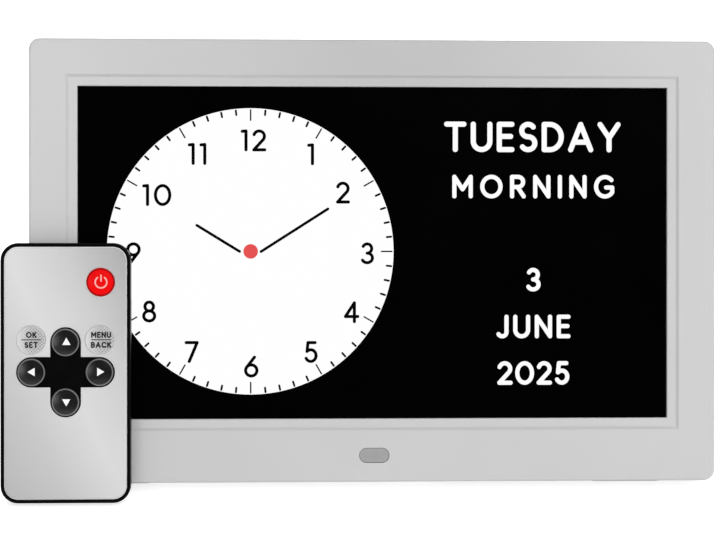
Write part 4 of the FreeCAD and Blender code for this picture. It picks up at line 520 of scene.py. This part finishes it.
def red_lacquer():
    """Translucent red key moulded in a polished tool: one strong red, with little gloss to wash it out. It
    is painted darker round the shoulder, as painted shade."""
    tone = colours().power_key[:]
    # the half-bright red goes round the shoulder as painted shade
    deeper, painted_shade_red = (tuple(share * c for c in tone[:3]) + (1.0,) for share in (0.9, 0.5))
    return key_lacquer("Lacquered red key", tone, deeper, painted_shade_red, 0.22, 0.28, 0.05)


def solder_mask():
    """Green solder mask over glass epoxy: glossy green with tracks 0.6 mm wide that show lighter."""
    made, tree, where = new_material("Green solder mask on glass epoxy")
    half_track = 0.3
    tracks = add(tree, "TexBrick", {"Vector": face_plane(tree, where, CLOCK), "Scale": 1.0,
                                    "Mortar Size": half_track, "Brick Width": 9.0, "Row Height": 2.2,
                                    "Color1": linear("#0F5A2A"), "Color2": linear("#115F2E"),
                                    "Mortar": linear("#2C8148")})
    shade(tree, {"Base Color": tracks, "Roughness": blotches(tree, where, 7.0, 0.22, 0.34),
                 "Normal": grain(tree, where, 0.6, 0.01), "IOR": 1.55})
    return made


def polyimide_film():
    """Amber polyimide film over copper tracks, one each millimetre: orange-brown with darker lines."""
    made, tree, where = new_material("Amber polyimide film")
    tracks = add(tree, "TexWave", {"Vector": where, "Scale": WAVE / 1.0}, "Fac")
    amber = add(tree, "Mix", {FACTOR: tracks, FIRST: linear("#8F4E12"), SECOND: linear("#C77A26")}, **BLEND)
    shade(tree, {"Base Color": amber, "Roughness": blotches(tree, where, 4.0, 0.26, 0.38), "IOR": 1.7})
    return made


# what surface_finish is given for pieces that this script adds: first the face plate's cut edge, painted
# nearly white as a highlight line
PAINTED_EDGE_HIGHLIGHT = ("Polished edge of silver film", "#F8F8F8", "#FFFFFF", 6.0, 0.3, 0.05, 0.3, 0.001)
# pixels that are shut: nearly the black of the glass over them, a little uneven
SHUT_PIXELS = ("Shut display pixels", "#020203", "#050506", 6.0, 0.25, 0.03, 0.35, 0.0)
# pad-printed inks: flat and slightly rough, so that they keep their tone beside gloss; over the red key
# the white one is thin and shows salmon
WHITE_INK = ("White pad printed ink", "#F8F8F8", "#FFFFFF", 1.5, 0.5, 0.05, 0.15, 0.002)
PINK_INK = ("Thin white ink over red", "#FFB4AC", "#FFA79F", 1.2, 0.5, 0.05, 0.15, 0.002)
BLACK_INK = ("Black pad printed ink", "#161617", "#262628", 0.8, 0.55, 0.05, 0.15, 0.002)
GREY_INK = ("Dark grey pad printed ink", "#3A3A3C", "#484849", 1.5, 0.5, 0.05, 0.15, 0.002)
# for pieces of the frame: their names, other inputs of the shader, and the same as above
FRAME_FINISHES = (
    # close to black from in front, with a faint haze at low angles; the anti-reflection film takes
    # glass's index of 1.5 down to 1.08
    ("lcd_panel", {"IOR": 1.08},
     "Film coated display glass", "#010101", "#020202", 40.0, 0.22, 0.03, 0.4, 0.0),
    # infra-red light passes it: a deep glossy grey with clean highlights
    ("ir_window", {"IOR": 1.49, "Coat Weight": 0.4, "Coat Roughness": 0.05},
     "Polished grey acrylic filter", "#A5A5A5", "#ADADAD", 5.0, 0.16, 0.03, 0.3, 0.001),
    # moulded in a polished tool: deep black with soft, slightly uneven highlights
    ("remote_top_case remote_back_case battery_tray", {"IOR": 1.5, "Specular IOR Level": 0.06},
     "Moulded black ABS", "#040404", "#070707", 14.0, 0.24, 0.05, 0.35, 0.002),
    # dull, dusty black with a fine pitted grain
    ("stand_foot", {"IOR": 1.52}, "Moulded black rubber", "#161616", "#232323", 3.0, 0.82, 0.08, 0.35, 0.03),
    # stick-on feet: satin, faintly cloudy
    ("rubber_feet", {"IOR": 1.41}, "Cast grey silicone", "#B9B9B7", "#C6C6C4", 5.0, 0.5, 0.06, 0.4, 0.01),
    # bright grey sheet and screws with cloudy patches of differing gloss
    ("lcd_frame lcd_clamps clamp_screws case_screws board_screws key_board_screws receiver_screws stand_pin "
     "speaker_basket usb_socket card_socket", {"Metallic": 1.0},
     "Zinc plated steel", "#B4B5B2", "#C9CAC6", 3.0, 0.34, 0.08, 0.2, 0.004),
    # warm silver whose brushed satin drifts a little in gloss
    ("backup_cell remote_coin_cell clock_crystal remote_domes", {"Metallic": 1.0},
     "Nickel plated steel", "#CFCDC6", "#C6C4BD", 6.0, 0.34, 0.04, 0.6, 0.0008),
    # springs: yellow metal, a little dull where it was bent
    ("remote_contacts", {"Metallic": 1.0},
     "Gold washed brass", "#D9B663", "#C7A24E", 2.0, 0.3, 0.08, 0.2, 0.003),
    # chips: dark grey, matt, finely gritty
    ("main_chips ir_receiver remote_chip", {"IOR": 1.55},
     "Moulded black epoxy", "#1B1B1D", "#252528", 2.0, 0.6, 0.06, 0.15, 0.008),
    # light guide: water-clear, clouded by the white dots printed on its back
    ("lcd_light_guide", {"IOR": 1.49, "Transmission Weight": 0.6},
     "Clear acrylic sheet", "#EDF1F2", "#F7FAFA", 4.0, 0.12, 0.04, 0.5, 0.002),
    # sockets and switches: dull black with a faint fibre grain
    ("dc_jack cell_holder key_switches", {"IOR": 1.53},
     "Glass filled black nylon", "#121212", "#1B1B1B", 2.5, 0.5, 0.08, 0.2, 0.01),
    # unfilled: creamy, soft gloss
    ("lead_sockets", {"IOR": 1.53}, "Moulded white nylon", "#E6E1D2", "#DCD6C5", 4.0, 0.42, 0.05, 0.3, 0.004),
    # dull black, with fibres 0.4 mm long that lift the light a little
    ("speaker_cone", {"IOR": 1.4}, "Pressed black paper", "#191817", "#2B2927", 0.8, 0.9, 0.05, 0.4, 0.05),
    # leads: black, waxy
    ("speaker_lead key_lead ir_lead", {"IOR": 1.53},
     "Soft black PVC", "#0F0F0F", "#1A1A1A", 5.0, 0.42, 0.06, 0.5, 0.01),
    # infra-red lamp: glassy with a faint blue tint
    ("remote_ir_led", {"IOR": 1.52, "Transmission Weight": 0.85},
     "Cast clear epoxy", "#CFDAEA", "#DFE8F4", 2.0, 0.07, 0.03, 0.4, 0.001),
)


def finish_nodes():
    """Puts each finish on its own pieces of the frame."""
    left = set(frame["nodes"]) - {"remote_key_" + name for name, _, _ in REMOTE_KEYS} - {"remote_faceplate"}
    finishes = [(names, surface_finish(*given, **inputs)) for names, inputs, *given in FRAME_FINISHES]
    finishes += [("front_bezel rear_cover stand_leg rear_key_right rear_key_down rear_key_up rear_key_left "
                  "rear_key_menu rear_key_power", moulded_abs()), ("lcd_flex", polyimide_film()),
                 ("main_board ir_board key_board remote_board", solder_mask())]
    for names, finish in finishes:
        for name in names.split():
            slots = frame["nodes"][name].data.materials
            slots.clear()
            slots.append(finish)
            left.discard(name)
    if left:
        raise RuntimeError(f"no finish for {sorted(left)}")


# ---- the picture on the screen
# each figure's place from the dial's middle, and the gap between two digits
FIGURES = {12: (0.85, 33.26), 1: (17.96, 29.13), 2: (27.69, 17.66), 3: (35.05, -0.57), 4: (30.27, -18.26),
           5: (18.07, -30.19), 6: (0.17, -34.53), 7: (-17.65, -30.12), 8: (-30.32, -17.98), 9: (-35.0, -0.58),
           10: (-28.05, 16.86), 11: (-16.02, 29.17)}
DIGIT_GAP = 2.35
# how far the marks stay inside the dial's edge
TICK_INSET = 0.5
# each hand's start and end, from the dial's middle
HANDS = (("hour_hand", (-3.31, -0.03), (-16.1, 7.81)), ("minute_hand", (3.09, -0.06), (23.16, 12.76)))
# the day's name, x, z and width, and the lines under it, z and width
DAY = ("TUESDAY", WORDS_X - 0.28, 103.6, 53.45)
LINES = (("MORNING", 88.64, 49.1), ("3", 60.6, None), ("JUNE", 46.47, 22.5), ("2025", 32.46, 21.9))


def disc(x, z, radius, front, back, turns=96):
    """A flat disc, turned from its section."""
    return turned(x, z, ((AXIS, front), (radius, front), (radius, back), (AXIS, back)), CLOCK, turns)


def make_dial():
    """White disc with sixty marks and twelve figures. Mark k lies at k times six degrees."""
    sizes = picture()
    layer, radius = sizes.layer / MM, sizes.dial_radius / MM
    face, marks = GLASS - layer, GLASS - 2 * layer
    white = [disc(DIAL_X, DIAL_Z, radius, face, GLASS, 180)]
    solid_piece("dial_face", "clock", white, lit_pixels("white"))
    outer, ticks = radius - TICK_INSET, []
    minute, hour = (sizes.minute_tick, sizes.minute_tick_width), (sizes.hour_tick, sizes.hour_tick_width)
    for k in range(60):
        reach, wide = minute if k % 5 else hour
        turn = math.radians(6 * k)
        way = np.array([math.sin(turn), math.cos(turn)])
        path = np.linspace(outer - reach / MM, outer, 3)[:, None] * way + (DIAL_X, DIAL_Z)
        ticks.append(ribbon(path, wide / MM, marks, face, CLOCK))
    shut = surface_finish(*SHUT_PIXELS, IOR=1.08)
    solid_piece("dial_ticks", "clock", ticks, shut)
    figures, letter = [], (sizes.figure_height / MM, sizes.figure_stroke / MM)
    for hour, (x, z) in FIGURES.items():
        figures += word(str(hour), DIAL_X + x, DIAL_Z + z, *letter, CLOCK, marks, face, gap=DIGIT_GAP)
    solid_piece("dial_figures", "clock", figures, shut)


def make_hands():
    """Two straight hands that stop short of a red dot."""
    sizes = picture()
    layer, width = sizes.layer / MM, sizes.hand_stroke / MM
    front, back = GLASS - 3 * layer, GLASS - 2 * layer
    shut = surface_finish(*SHUT_PIXELS, IOR=1.08)
    for name, start, end in HANDS:
        path = np.linspace(start, end, 4) + (DIAL_X, DIAL_Z)
        solid_piece(name, "clock", [ribbon(path, width, front, back, CLOCK)], shut)
    hub = [disc(DIAL_X, DIAL_Z, sizes.hub_radius / MM, front, back)]
    solid_piece("hand_hub", "clock", hub, lit_pixels("red"))


def make_day_words():
    """Five lines of white words: the day, the part of the day, the date, the month and the year."""
    sizes = picture()
    front, back = GLASS - sizes.layer / MM, GLASS
    text, x, z, width = DAY
    ribbons = word(text, x, z, sizes.day_height / MM, sizes.day_stroke / MM, CLOCK, front, back, width=width)
    letter = sizes.line_height / MM, sizes.line_stroke / MM
    for text, z, width in LINES:
        ribbons += word(text, WORDS_X, z, *letter, CLOCK, front, back, width=width)
    solid_piece("day_words", "clock", ribbons, lit_pixels("white"))


# ---- the remote's face plate, keys and marks
# a face belongs to the plate's front where it looks forward by this cosine, and an edge to the outline
# past this share of the way from the plate's middle to its sides
FRONT, OUTLINE = 0.99, 0.9


def make_face_plate():
    """The frame's face plate with a chamfer of 45 degrees along the edges of its front, wider on the
    outline than round the openings."""
    node = "remote_faceplate"
    cut = bmesh.new()
    cut.from_mesh(frame["nodes"][node].data)
    bmesh.ops.remove_doubles(cut, verts=cut.verts, dist=0.001 * MM)
    front = Vector(REMOTE.turn @ (0, -1, 0))
    own = REMOTE.own([vert.co for vert in cut.verts])
    middle, half = (own.max(axis=0) + own.min(axis=0)) / 2, np.ptp(own, axis=0) / 2
    rims = {True: [], False: []}
    for edge in cut.edges:
        if sum(face.normal.dot(front) > FRONT for face in edge.link_faces) == 1:
            way = np.abs(REMOTE.own((edge.verts[0].co + edge.verts[1].co) / 2) - middle) / half
            rims[bool(way[[0, 2]].max() > OUTLINE)].append(edge)
    for outer, width in ((True, keys().plate_edge), (False, keys().hole_edge)):
        bmesh.ops.bevel(cut, geom=rims[outer], offset=width, offset_type="OFFSET", segments=1, profile=0.5,
                        affect="EDGES", material=1)
    for face in cut.faces:
        face.smooth = False
    mesh = bpy.data.meshes.new("face_plate")
    cut.to_mesh(mesh)
    cut.free()
    mesh.materials.append(silver_film())
    # the chamfer's finish is near-white: a painted highlight along the plate's edges and openings
    mesh.materials.append(surface_finish(*PAINTED_EDGE_HIGHLIGHT, IOR=1.5))
    plate = in_scene("face_plate", mesh)
    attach(plate, "remote")
    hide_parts(node)


# how far the middles of the remote's keys stand before its front, their flange's lap and stem's radius
KEY_RISE, FLANGE_LAP, STEM_RADIUS = 0.85, 0.55, 1.5
# the depths of the flange and of the stem's end
FLANGE_FRONT, FLANGE_BACK, STEM_END = -5.25, -4.75, -4.3
# rows of points over a key's dome and round its shoulder
DOME_ROWS, SHOULDER_ROWS = 12, 8


def key_profile(radius, crown, round_edge):
    """From the crowned middle out to the shoulder, a quarter circle over it, the skirt, the flange and the
    stem. At a share s of the way out, the dome lies crown times s squared behind its middle."""
    top = REMOTE_FACE - KEY_RISE
    out = np.linspace(0.0, 1.0, DOME_ROWS)
    flat = radius - round_edge
    dome = np.stack([np.maximum(out * flat, AXIS), top + crown * out ** 2], axis=-1)
    turn = np.radians(np.linspace(0, 90, SHOULDER_ROWS + 1))[1:]
    shoulder = np.stack([flat + round_edge * np.sin(turn),
                         top + crown + round_edge * (1 - np.cos(turn))], axis=-1)
    flange = keys().radius / MM + FLANGE_LAP
    hidden = np.array([(radius, FLANGE_FRONT), (flange, FLANGE_FRONT), (flange, FLANGE_BACK),
                       (STEM_RADIUS, FLANGE_BACK), (STEM_RADIUS, STEM_END), (AXIS, STEM_END)])
    return np.concatenate([dome, shoulder, hidden])


def make_remote_keys():
    """Domed caps: one red, two silver ones that stand flatter and fill their holes, and four black. The
    attribute rim is 1 on the shoulder, where a highlight is painted on the black keys and shade on
    the red one, and side runs from 0 at the left of the dome to 1 at its right, to paint a highlight on the
    left of the silver keys."""
    sizes = keys()
    coloured = key_profile(sizes.radius / MM, sizes.crown / MM, sizes.shoulder / MM)
    flatter = key_profile(sizes.silver_radius / MM, sizes.silver_crown / MM, sizes.silver_shoulder / MM)
    black = (black_lacquer(), "key_black", coloured)
    silver = (stippled_lacquer(), "key_silver", flatter)
    kinds = {"power": (red_lacquer(), "key_red", coloured), "ok": silver, "menu": silver}
    painted_rim_rows = (DOME_ROWS - 1, DOME_ROWS, DOME_ROWS + SHOULDER_ROWS // 2, DOME_ROWS + SHOULDER_ROWS - 2)
    for name, x, z in REMOTE_KEYS:
        finish, slot, profile = kinds.get(name, black)
        node = "remote_key_" + name
        shape = turned(x, z, profile, REMOTE)
        cap = solid_piece("key_cap_" + name, node, [shape], finish)
        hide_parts(node)
        # rim: the shoulder rows that take the painted highlight on black keys and painted shade on the red
        # one
        rim = np.interp(np.arange(len(profile)), painted_rim_rows, (0, 1, 1, 0))
        # side: lightens each silver dome towards its left, a painted highlight
        side = 0.5 + (REMOTE.own(shape)[..., 0] - x) / (2 * sizes.radius / MM)
        side[DOME_ROWS:] = 0.0
        for attribute, values in (("rim", np.repeat(rim, shape.shape[1])), ("side", side.ravel())):
            cap.data.attributes.new(attribute, "FLOAT", "POINT").data.foreach_set("value", values)


def power_mark(x, z, size, stroke, front, back, slope):
    """A ring open at the top, 38 degrees each side, and an upright bar from its middle."""
    ring = line_points([(0, 0, 1, 1, 128, 412)], size) + (x, z)
    bar = line_points([(0, 0.2), (0, 1.2)], size) + (x, z)
    return [ribbon(ring, stroke, front, back, slope), ribbon(bar, stroke, front, back, slope)]


def level_bar(x, z, half, stroke, front, back, slope):
    """A level stroke, given by its middle and half its length."""
    return ribbon(np.linspace((x - half, z), (x + half, z), 3), stroke, front, back, slope)


# where each arrowhead points, in degrees from the right
ARROWS = {"up": 90, "down": 270, "left": 180, "right": 0}
# how far the print on the remote's keys lies to the right of their middles and above them
PRINT_SHIFT = {"power": (0.17, 0.0), "ok": (0.1, 0.0), "menu": (0.45, 0.0), "up": (0.32, 0.0),
               "down": (0.27, 0.2), "left": (0.33, 0.15), "right": (0.03, 0.15)}
# how far the print's front and back stand before the remote's, and the power mark's radius
PRINT_FRONT, PRINT_BACK, POWER_RADIUS = 0.88, 0.6, 1.7
# each silver key's two words, their heights over its middle and the gap between letters
LABELS = {"ok": ("OK", "SET"), "menu": ("MENU", "BACK")}
UPPER_Z, LOWER_Z, LETTER_GAP = 1.5, -1.45, 0.6
# the rule between them: its height, half its length and its width as a share of the letters' stroke
RULE_Z, RULE_HALF, RULE_SHARE = 0.05, 2.75, 0.7


def make_remote_marks():
    """White marks on the power and arrow keys, and two-line labels parted by a rule on the silver keys."""
    sizes = keys()
    depths = REMOTE_FACE - PRINT_FRONT, REMOTE_FACE - PRINT_BACK, REMOTE
    thin = {"IOR": 1.5, "Specular IOR Level": 0.2}
    white, pink, black = (surface_finish(*WHITE_INK, IOR=1.5), surface_finish(*PINK_INK, **thin),
                          surface_finish(*BLACK_INK, **thin))
    for name, x, z in REMOTE_KEYS:
        x, z = np.add((x, z), PRINT_SHIFT[name])
        if name == "power":
            patches = power_mark(x, z, POWER_RADIUS, sizes.mark_stroke / MM, *depths)
            ink, slot = pink, "white_nylon"
        elif name in ARROWS:
            patches = [arrowhead(x, z, sizes.arrow_reach / MM, ARROWS[name], *depths)]
            ink, slot = white, "white_nylon"
        else:
            height, stroke = sizes.label_height / MM, sizes.label_stroke / MM
            patches = []
            for text, rise in zip(LABELS[name], (UPPER_Z, LOWER_Z)):
                patches += word(text, x, z + rise, height, stroke, REMOTE, *depths[:2], gap=LETTER_GAP)
            patches.append(level_bar(x, z + RULE_Z, RULE_HALF, stroke * RULE_SHARE, *depths))
            ink, slot = black, "remote_black"
        solid_piece("key_mark_" + name, "remote_key_" + name, patches, ink)


# the marks on the back: how far they stand off the keys and reach into them, and their strokes' width
REAR_STAND, REAR_SINK, REAR_STROKE = 0.03, 0.3, 0.36
# the power mark's radius and drop, the bars' half-length and heights, the arrows' reach
REAR_POWER, POWER_DROP, BAR_HALF, BAR_HEIGHTS, REAR_ARROW = 1.2, 0.1, 1.2, (-0.85, 0.0, 0.85), 1.3


def make_rear_marks():
    """Grey marks on the six keys on the back: power, three bars for the menu, and arrows, which are
    turned over because they are read from behind."""
    depths = REAR_KEY_TOP + REAR_STAND, REAR_KEY_TOP - REAR_SINK, CLOCK
    ink = surface_finish(*GREY_INK, IOR=1.5)
    for name, x in REAR_KEYS:
        if name == "power":
            patches = power_mark(x, REAR_KEY_Z - POWER_DROP, REAR_POWER, REAR_STROKE, *depths)
        elif name == "menu":
            patches = [level_bar(x, REAR_KEY_Z + rise, BAR_HALF, REAR_STROKE, *depths)
                       for rise in BAR_HEIGHTS]
        else:
            patches = [arrowhead(x, REAR_KEY_Z, REAR_ARROW, 180 - ARROWS[name], *depths)]
        solid_piece("rear_mark_" + name, "rear_key_" + name, patches, ink)


# ---- studio
# the camera: degrees right of square on and above it, millimetres to its target, the target in the
# clock's frame, focal length and film width
YAW, PITCH, AWAY = -2.868, 0.234, 700.0
TARGET = (-4.885, 0, 63.528)
FOCAL_LENGTH, FILM_WIDTH = 117.57, 36.0
# the way to the middle of the soft light
LIGHT_WAY = (0.07, -0.957, 0.28)
# each lamp: name, place in metres, watts and side; and the point that they face
LAMPS = (("key_lamp", (0.42, -1.0, 0.95), 5.5, 0.7), ("fill_lamp", (-0.54, -1.11, 0.34), 1.1, 0.24),
         ("back_lamp", (0.25, 1.2, 0.95), 12.0, 0.9))
CLOCK_MIDDLE = (0, 0, 0.07)
# how far the floor reaches each way, in metres, and how brightly it shines for rays that see it
FLOOR_REACH, FLOOR_LIFT = 5.0, 0.72


def place_camera():
    """A long lens nearly square on to the screen, 2.9 degrees to its left, 700 mm away."""
    yaw, pitch = math.radians(YAW), math.radians(PITCH)
    back = np.array([math.sin(yaw) * math.cos(pitch), -math.cos(yaw) * math.cos(pitch), math.sin(pitch)])
    right = np.cross(-back, (0, 0, 1))
    right /= np.linalg.norm(right)
    up = np.cross(right, -back)
    camera = in_scene("camera", bpy.data.cameras.new("camera"))
    camera.data.lens, camera.data.sensor_width = FOCAL_LENGTH, FILM_WIDTH
    camera.data.clip_start, camera.data.clip_end = 0.02, 50.0
    axes = np.eye(4)
    axes[:3, :3] = CLOCK.turn @ np.stack([right, up, back], axis=-1)
    axes[:3, 3] = CLOCK.world(TARGET + AWAY * back)
    camera.matrix_world = Matrix(axes.tolist())
    bpy.context.scene.camera = camera


def add_lamp(name, place, power, size):
    """A square soft lamp that faces the clock's middle."""
    lamp = bpy.data.lights.new(name, "AREA")
    lamp.energy, lamp.size = power, size
    holder = in_scene(name, lamp)
    holder.location = place
    holder.rotation_euler = (Vector(place) - Vector(CLOCK_MIDDLE)).to_track_quat("Z", "Y").to_euler()


def seen_by(tree, *rays):
    """1 for the named kinds of ray, such as Camera, and 0 for the light that falls on things."""
    path, seen = add(tree, "LightPath").node, 0.0
    for ray in rays:
        seen = add(tree, "Math", {0: path.outputs[f"Is {ray} Ray"], 1: seen}, operation="MAXIMUM")
    return seen


def make_world(level, frontal, front):
    """A white room that lights evenly at a given level, with a large soft light in front of the clock's
    face, a little to its right. The wall behind the camera is dim in mirror images. For both, the cosine
    from that light's middle maps to a strength. The room shows as plain white behind the clock."""
    world = bpy.data.worlds.new("studio")
    world.use_nodes = True
    tree = world.node_tree
    tree.nodes.clear()
    way = add(tree, "TexCoord", out="Generated")
    facing = add(tree, "VectorMath", {0: way, 1: LIGHT_WAY}, "Value", operation="DOT_PRODUCT")
    wall = add(tree, "MapRange", {"Value": facing, "From Min": 0.45, "From Max": 0.85,
                                  "To Min": 1.0, "To Max": front})
    soft = add(tree, "MapRange", {"Value": facing, "From Min": 0.8, "From Max": 0.96,
                                  "To Min": level, "To Max": frontal})
    dimmed = add(tree, "MapRange", {"Value": seen_by(tree, "Glossy"), "To Min": soft, "To Max": wall})
    strength = add(tree, "MapRange", {"Value": seen_by(tree, "Camera", "Transmission"), "To Min": dimmed,
                                      "To Max": 1.0})
    background = add(tree, "Background", {"Color": (1, 1, 1, 1), "Strength": strength})
    add(tree, "OutputWorld", {"Surface": background})
    bpy.context.scene.world = world


def make_floor():
    """A pale matt floor that reads as white, also in mirror images, and keeps the clock's soft shadow."""
    mesh = bpy.data.meshes.new("floor")
    corners = [(x * FLOOR_REACH, y * FLOOR_REACH, 0) for x, y in ((-1, -1), (1, -1), (1, 1), (-1, 1))]
    mesh.from_pydata(corners, [], [(0, 1, 2, 3)])
    floor = in_scene("floor", mesh)
    made, tree, where = new_material("Matt white studio floor")
    lift = add(tree, "MapRange", {"Value": seen_by(tree, "Camera", "Transmission", "Glossy"),
                                  "To Min": 0.0, "To Max": FLOOR_LIFT})
    shade(tree, {"Base Color": drift(tree, where, 300.0, colours().floor[:], linear("#F7F7F7")),
                 "Roughness": 0.9, "Specular IOR Level": 0.1, "Emission Color": (1, 1, 1, 1),
                 "Emission Strength": lift})
    mesh.materials.append(made)


# ---- operators
class CLOCK_OT_finishes(bpy.types.Operator):
    """Puts the finishes on the pieces of the frame"""
    bl_idname = "day_clock.finishes"
    bl_label = "Finish the frame's pieces"

    def execute(self, context):
        finish_nodes()
        return {"FINISHED"}


class CLOCK_OT_dial(bpy.types.Operator):
    """Adds the dial of the screen's picture"""
    bl_idname = "day_clock.dial"
    bl_label = "Add the dial"

    def execute(self, context):
        make_dial()
        return {"FINISHED"}


class CLOCK_OT_hands(bpy.types.Operator):
    """Adds the hands and the red dot of the screen's picture"""
    bl_idname = "day_clock.hands"
    bl_label = "Add the hands"

    def execute(self, context):
        make_hands()
        return {"FINISHED"}


class CLOCK_OT_day_words(bpy.types.Operator):
    """Adds the day, date, month and year of the screen's picture"""
    bl_idname = "day_clock.day_words"
    bl_label = "Add the day's words"

    def execute(self, context):
        make_day_words()
        return {"FINISHED"}


class CLOCK_OT_face_plate(bpy.types.Operator):
    """Adds the silver face plate of the remote"""
    bl_idname = "day_clock.face_plate"
    bl_label = "Add the remote's face plate"

    def execute(self, context):
        make_face_plate()
        return {"FINISHED"}


class CLOCK_OT_remote_keys(bpy.types.Operator):
    """Adds the seven domed keys of the remote"""
    bl_idname = "day_clock.remote_keys"
    bl_label = "Add the remote's keys"

    def execute(self, context):
        make_remote_keys()
        return {"FINISHED"}


class CLOCK_OT_remote_marks(bpy.types.Operator):
    """Adds the marks on the remote's keys"""
    bl_idname = "day_clock.remote_marks"
    bl_label = "Add the remote's marks"

    def execute(self, context):
        make_remote_marks()
        return {"FINISHED"}


class CLOCK_OT_rear_marks(bpy.types.Operator):
    """Adds the marks on the keys on the back"""
    bl_idname = "day_clock.rear_marks"
    bl_label = "Add the rear keys' marks"

    def execute(self, context):
        make_rear_marks()
        return {"FINISHED"}


class CLOCK_OT_stage(bpy.types.Operator):
    """Adds the camera, the lamps, the room and the floor"""
    bl_idname = "day_clock.stage"
    bl_label = "Add the studio"

    def execute(self, context):
        place_camera()
        make_world(level=0.22, frontal=2.06, front=0.12)
        make_floor()
        for lamp in LAMPS:
            add_lamp(*lamp)
        return {"FINISHED"}


OPERATORS = (CLOCK_OT_stage, CLOCK_OT_finishes, CLOCK_OT_dial, CLOCK_OT_hands, CLOCK_OT_day_words,
             CLOCK_OT_face_plate, CLOCK_OT_remote_keys, CLOCK_OT_remote_marks, CLOCK_OT_rear_marks)


class VIEW3D_PT_day_clock(bpy.types.Panel):
    bl_label = "Day Clock"
    bl_space_type = "VIEW_3D"
    bl_region_type = "UI"
    bl_category = "Day Clock"

    def draw(self, context):
        for operator in OPERATORS:
            self.layout.operator(operator.bl_idname)
        for name, group in GROUPS.items():
            box = self.layout.box()
            for field in group.__annotations__:
                box.prop(getattr(context.scene, name), field)


def register():
    for group in GROUPS.values():
        bpy.utils.register_class(group)
    for name, group in GROUPS.items():
        setattr(bpy.types.Scene, name, bpy.props.PointerProperty(type=group))
    for made in OPERATORS + (VIEW3D_PT_day_clock,):
        bpy.utils.register_class(made)


def unregister():
    for made in (VIEW3D_PT_day_clock,) + OPERATORS[::-1]:
        bpy.utils.unregister_class(made)
    for name in GROUPS:
        delattr(bpy.types.Scene, name)
    for group in GROUPS.values():
        bpy.utils.unregister_class(group)


def main():
    register()
    bpy.context.scene.view_settings.view_transform = "Standard"
    for operator in OPERATORS:
        group, name = operator.bl_idname.split(".")
        getattr(getattr(bpy.ops, group), name)()


if __name__ == "__main__":
    main()
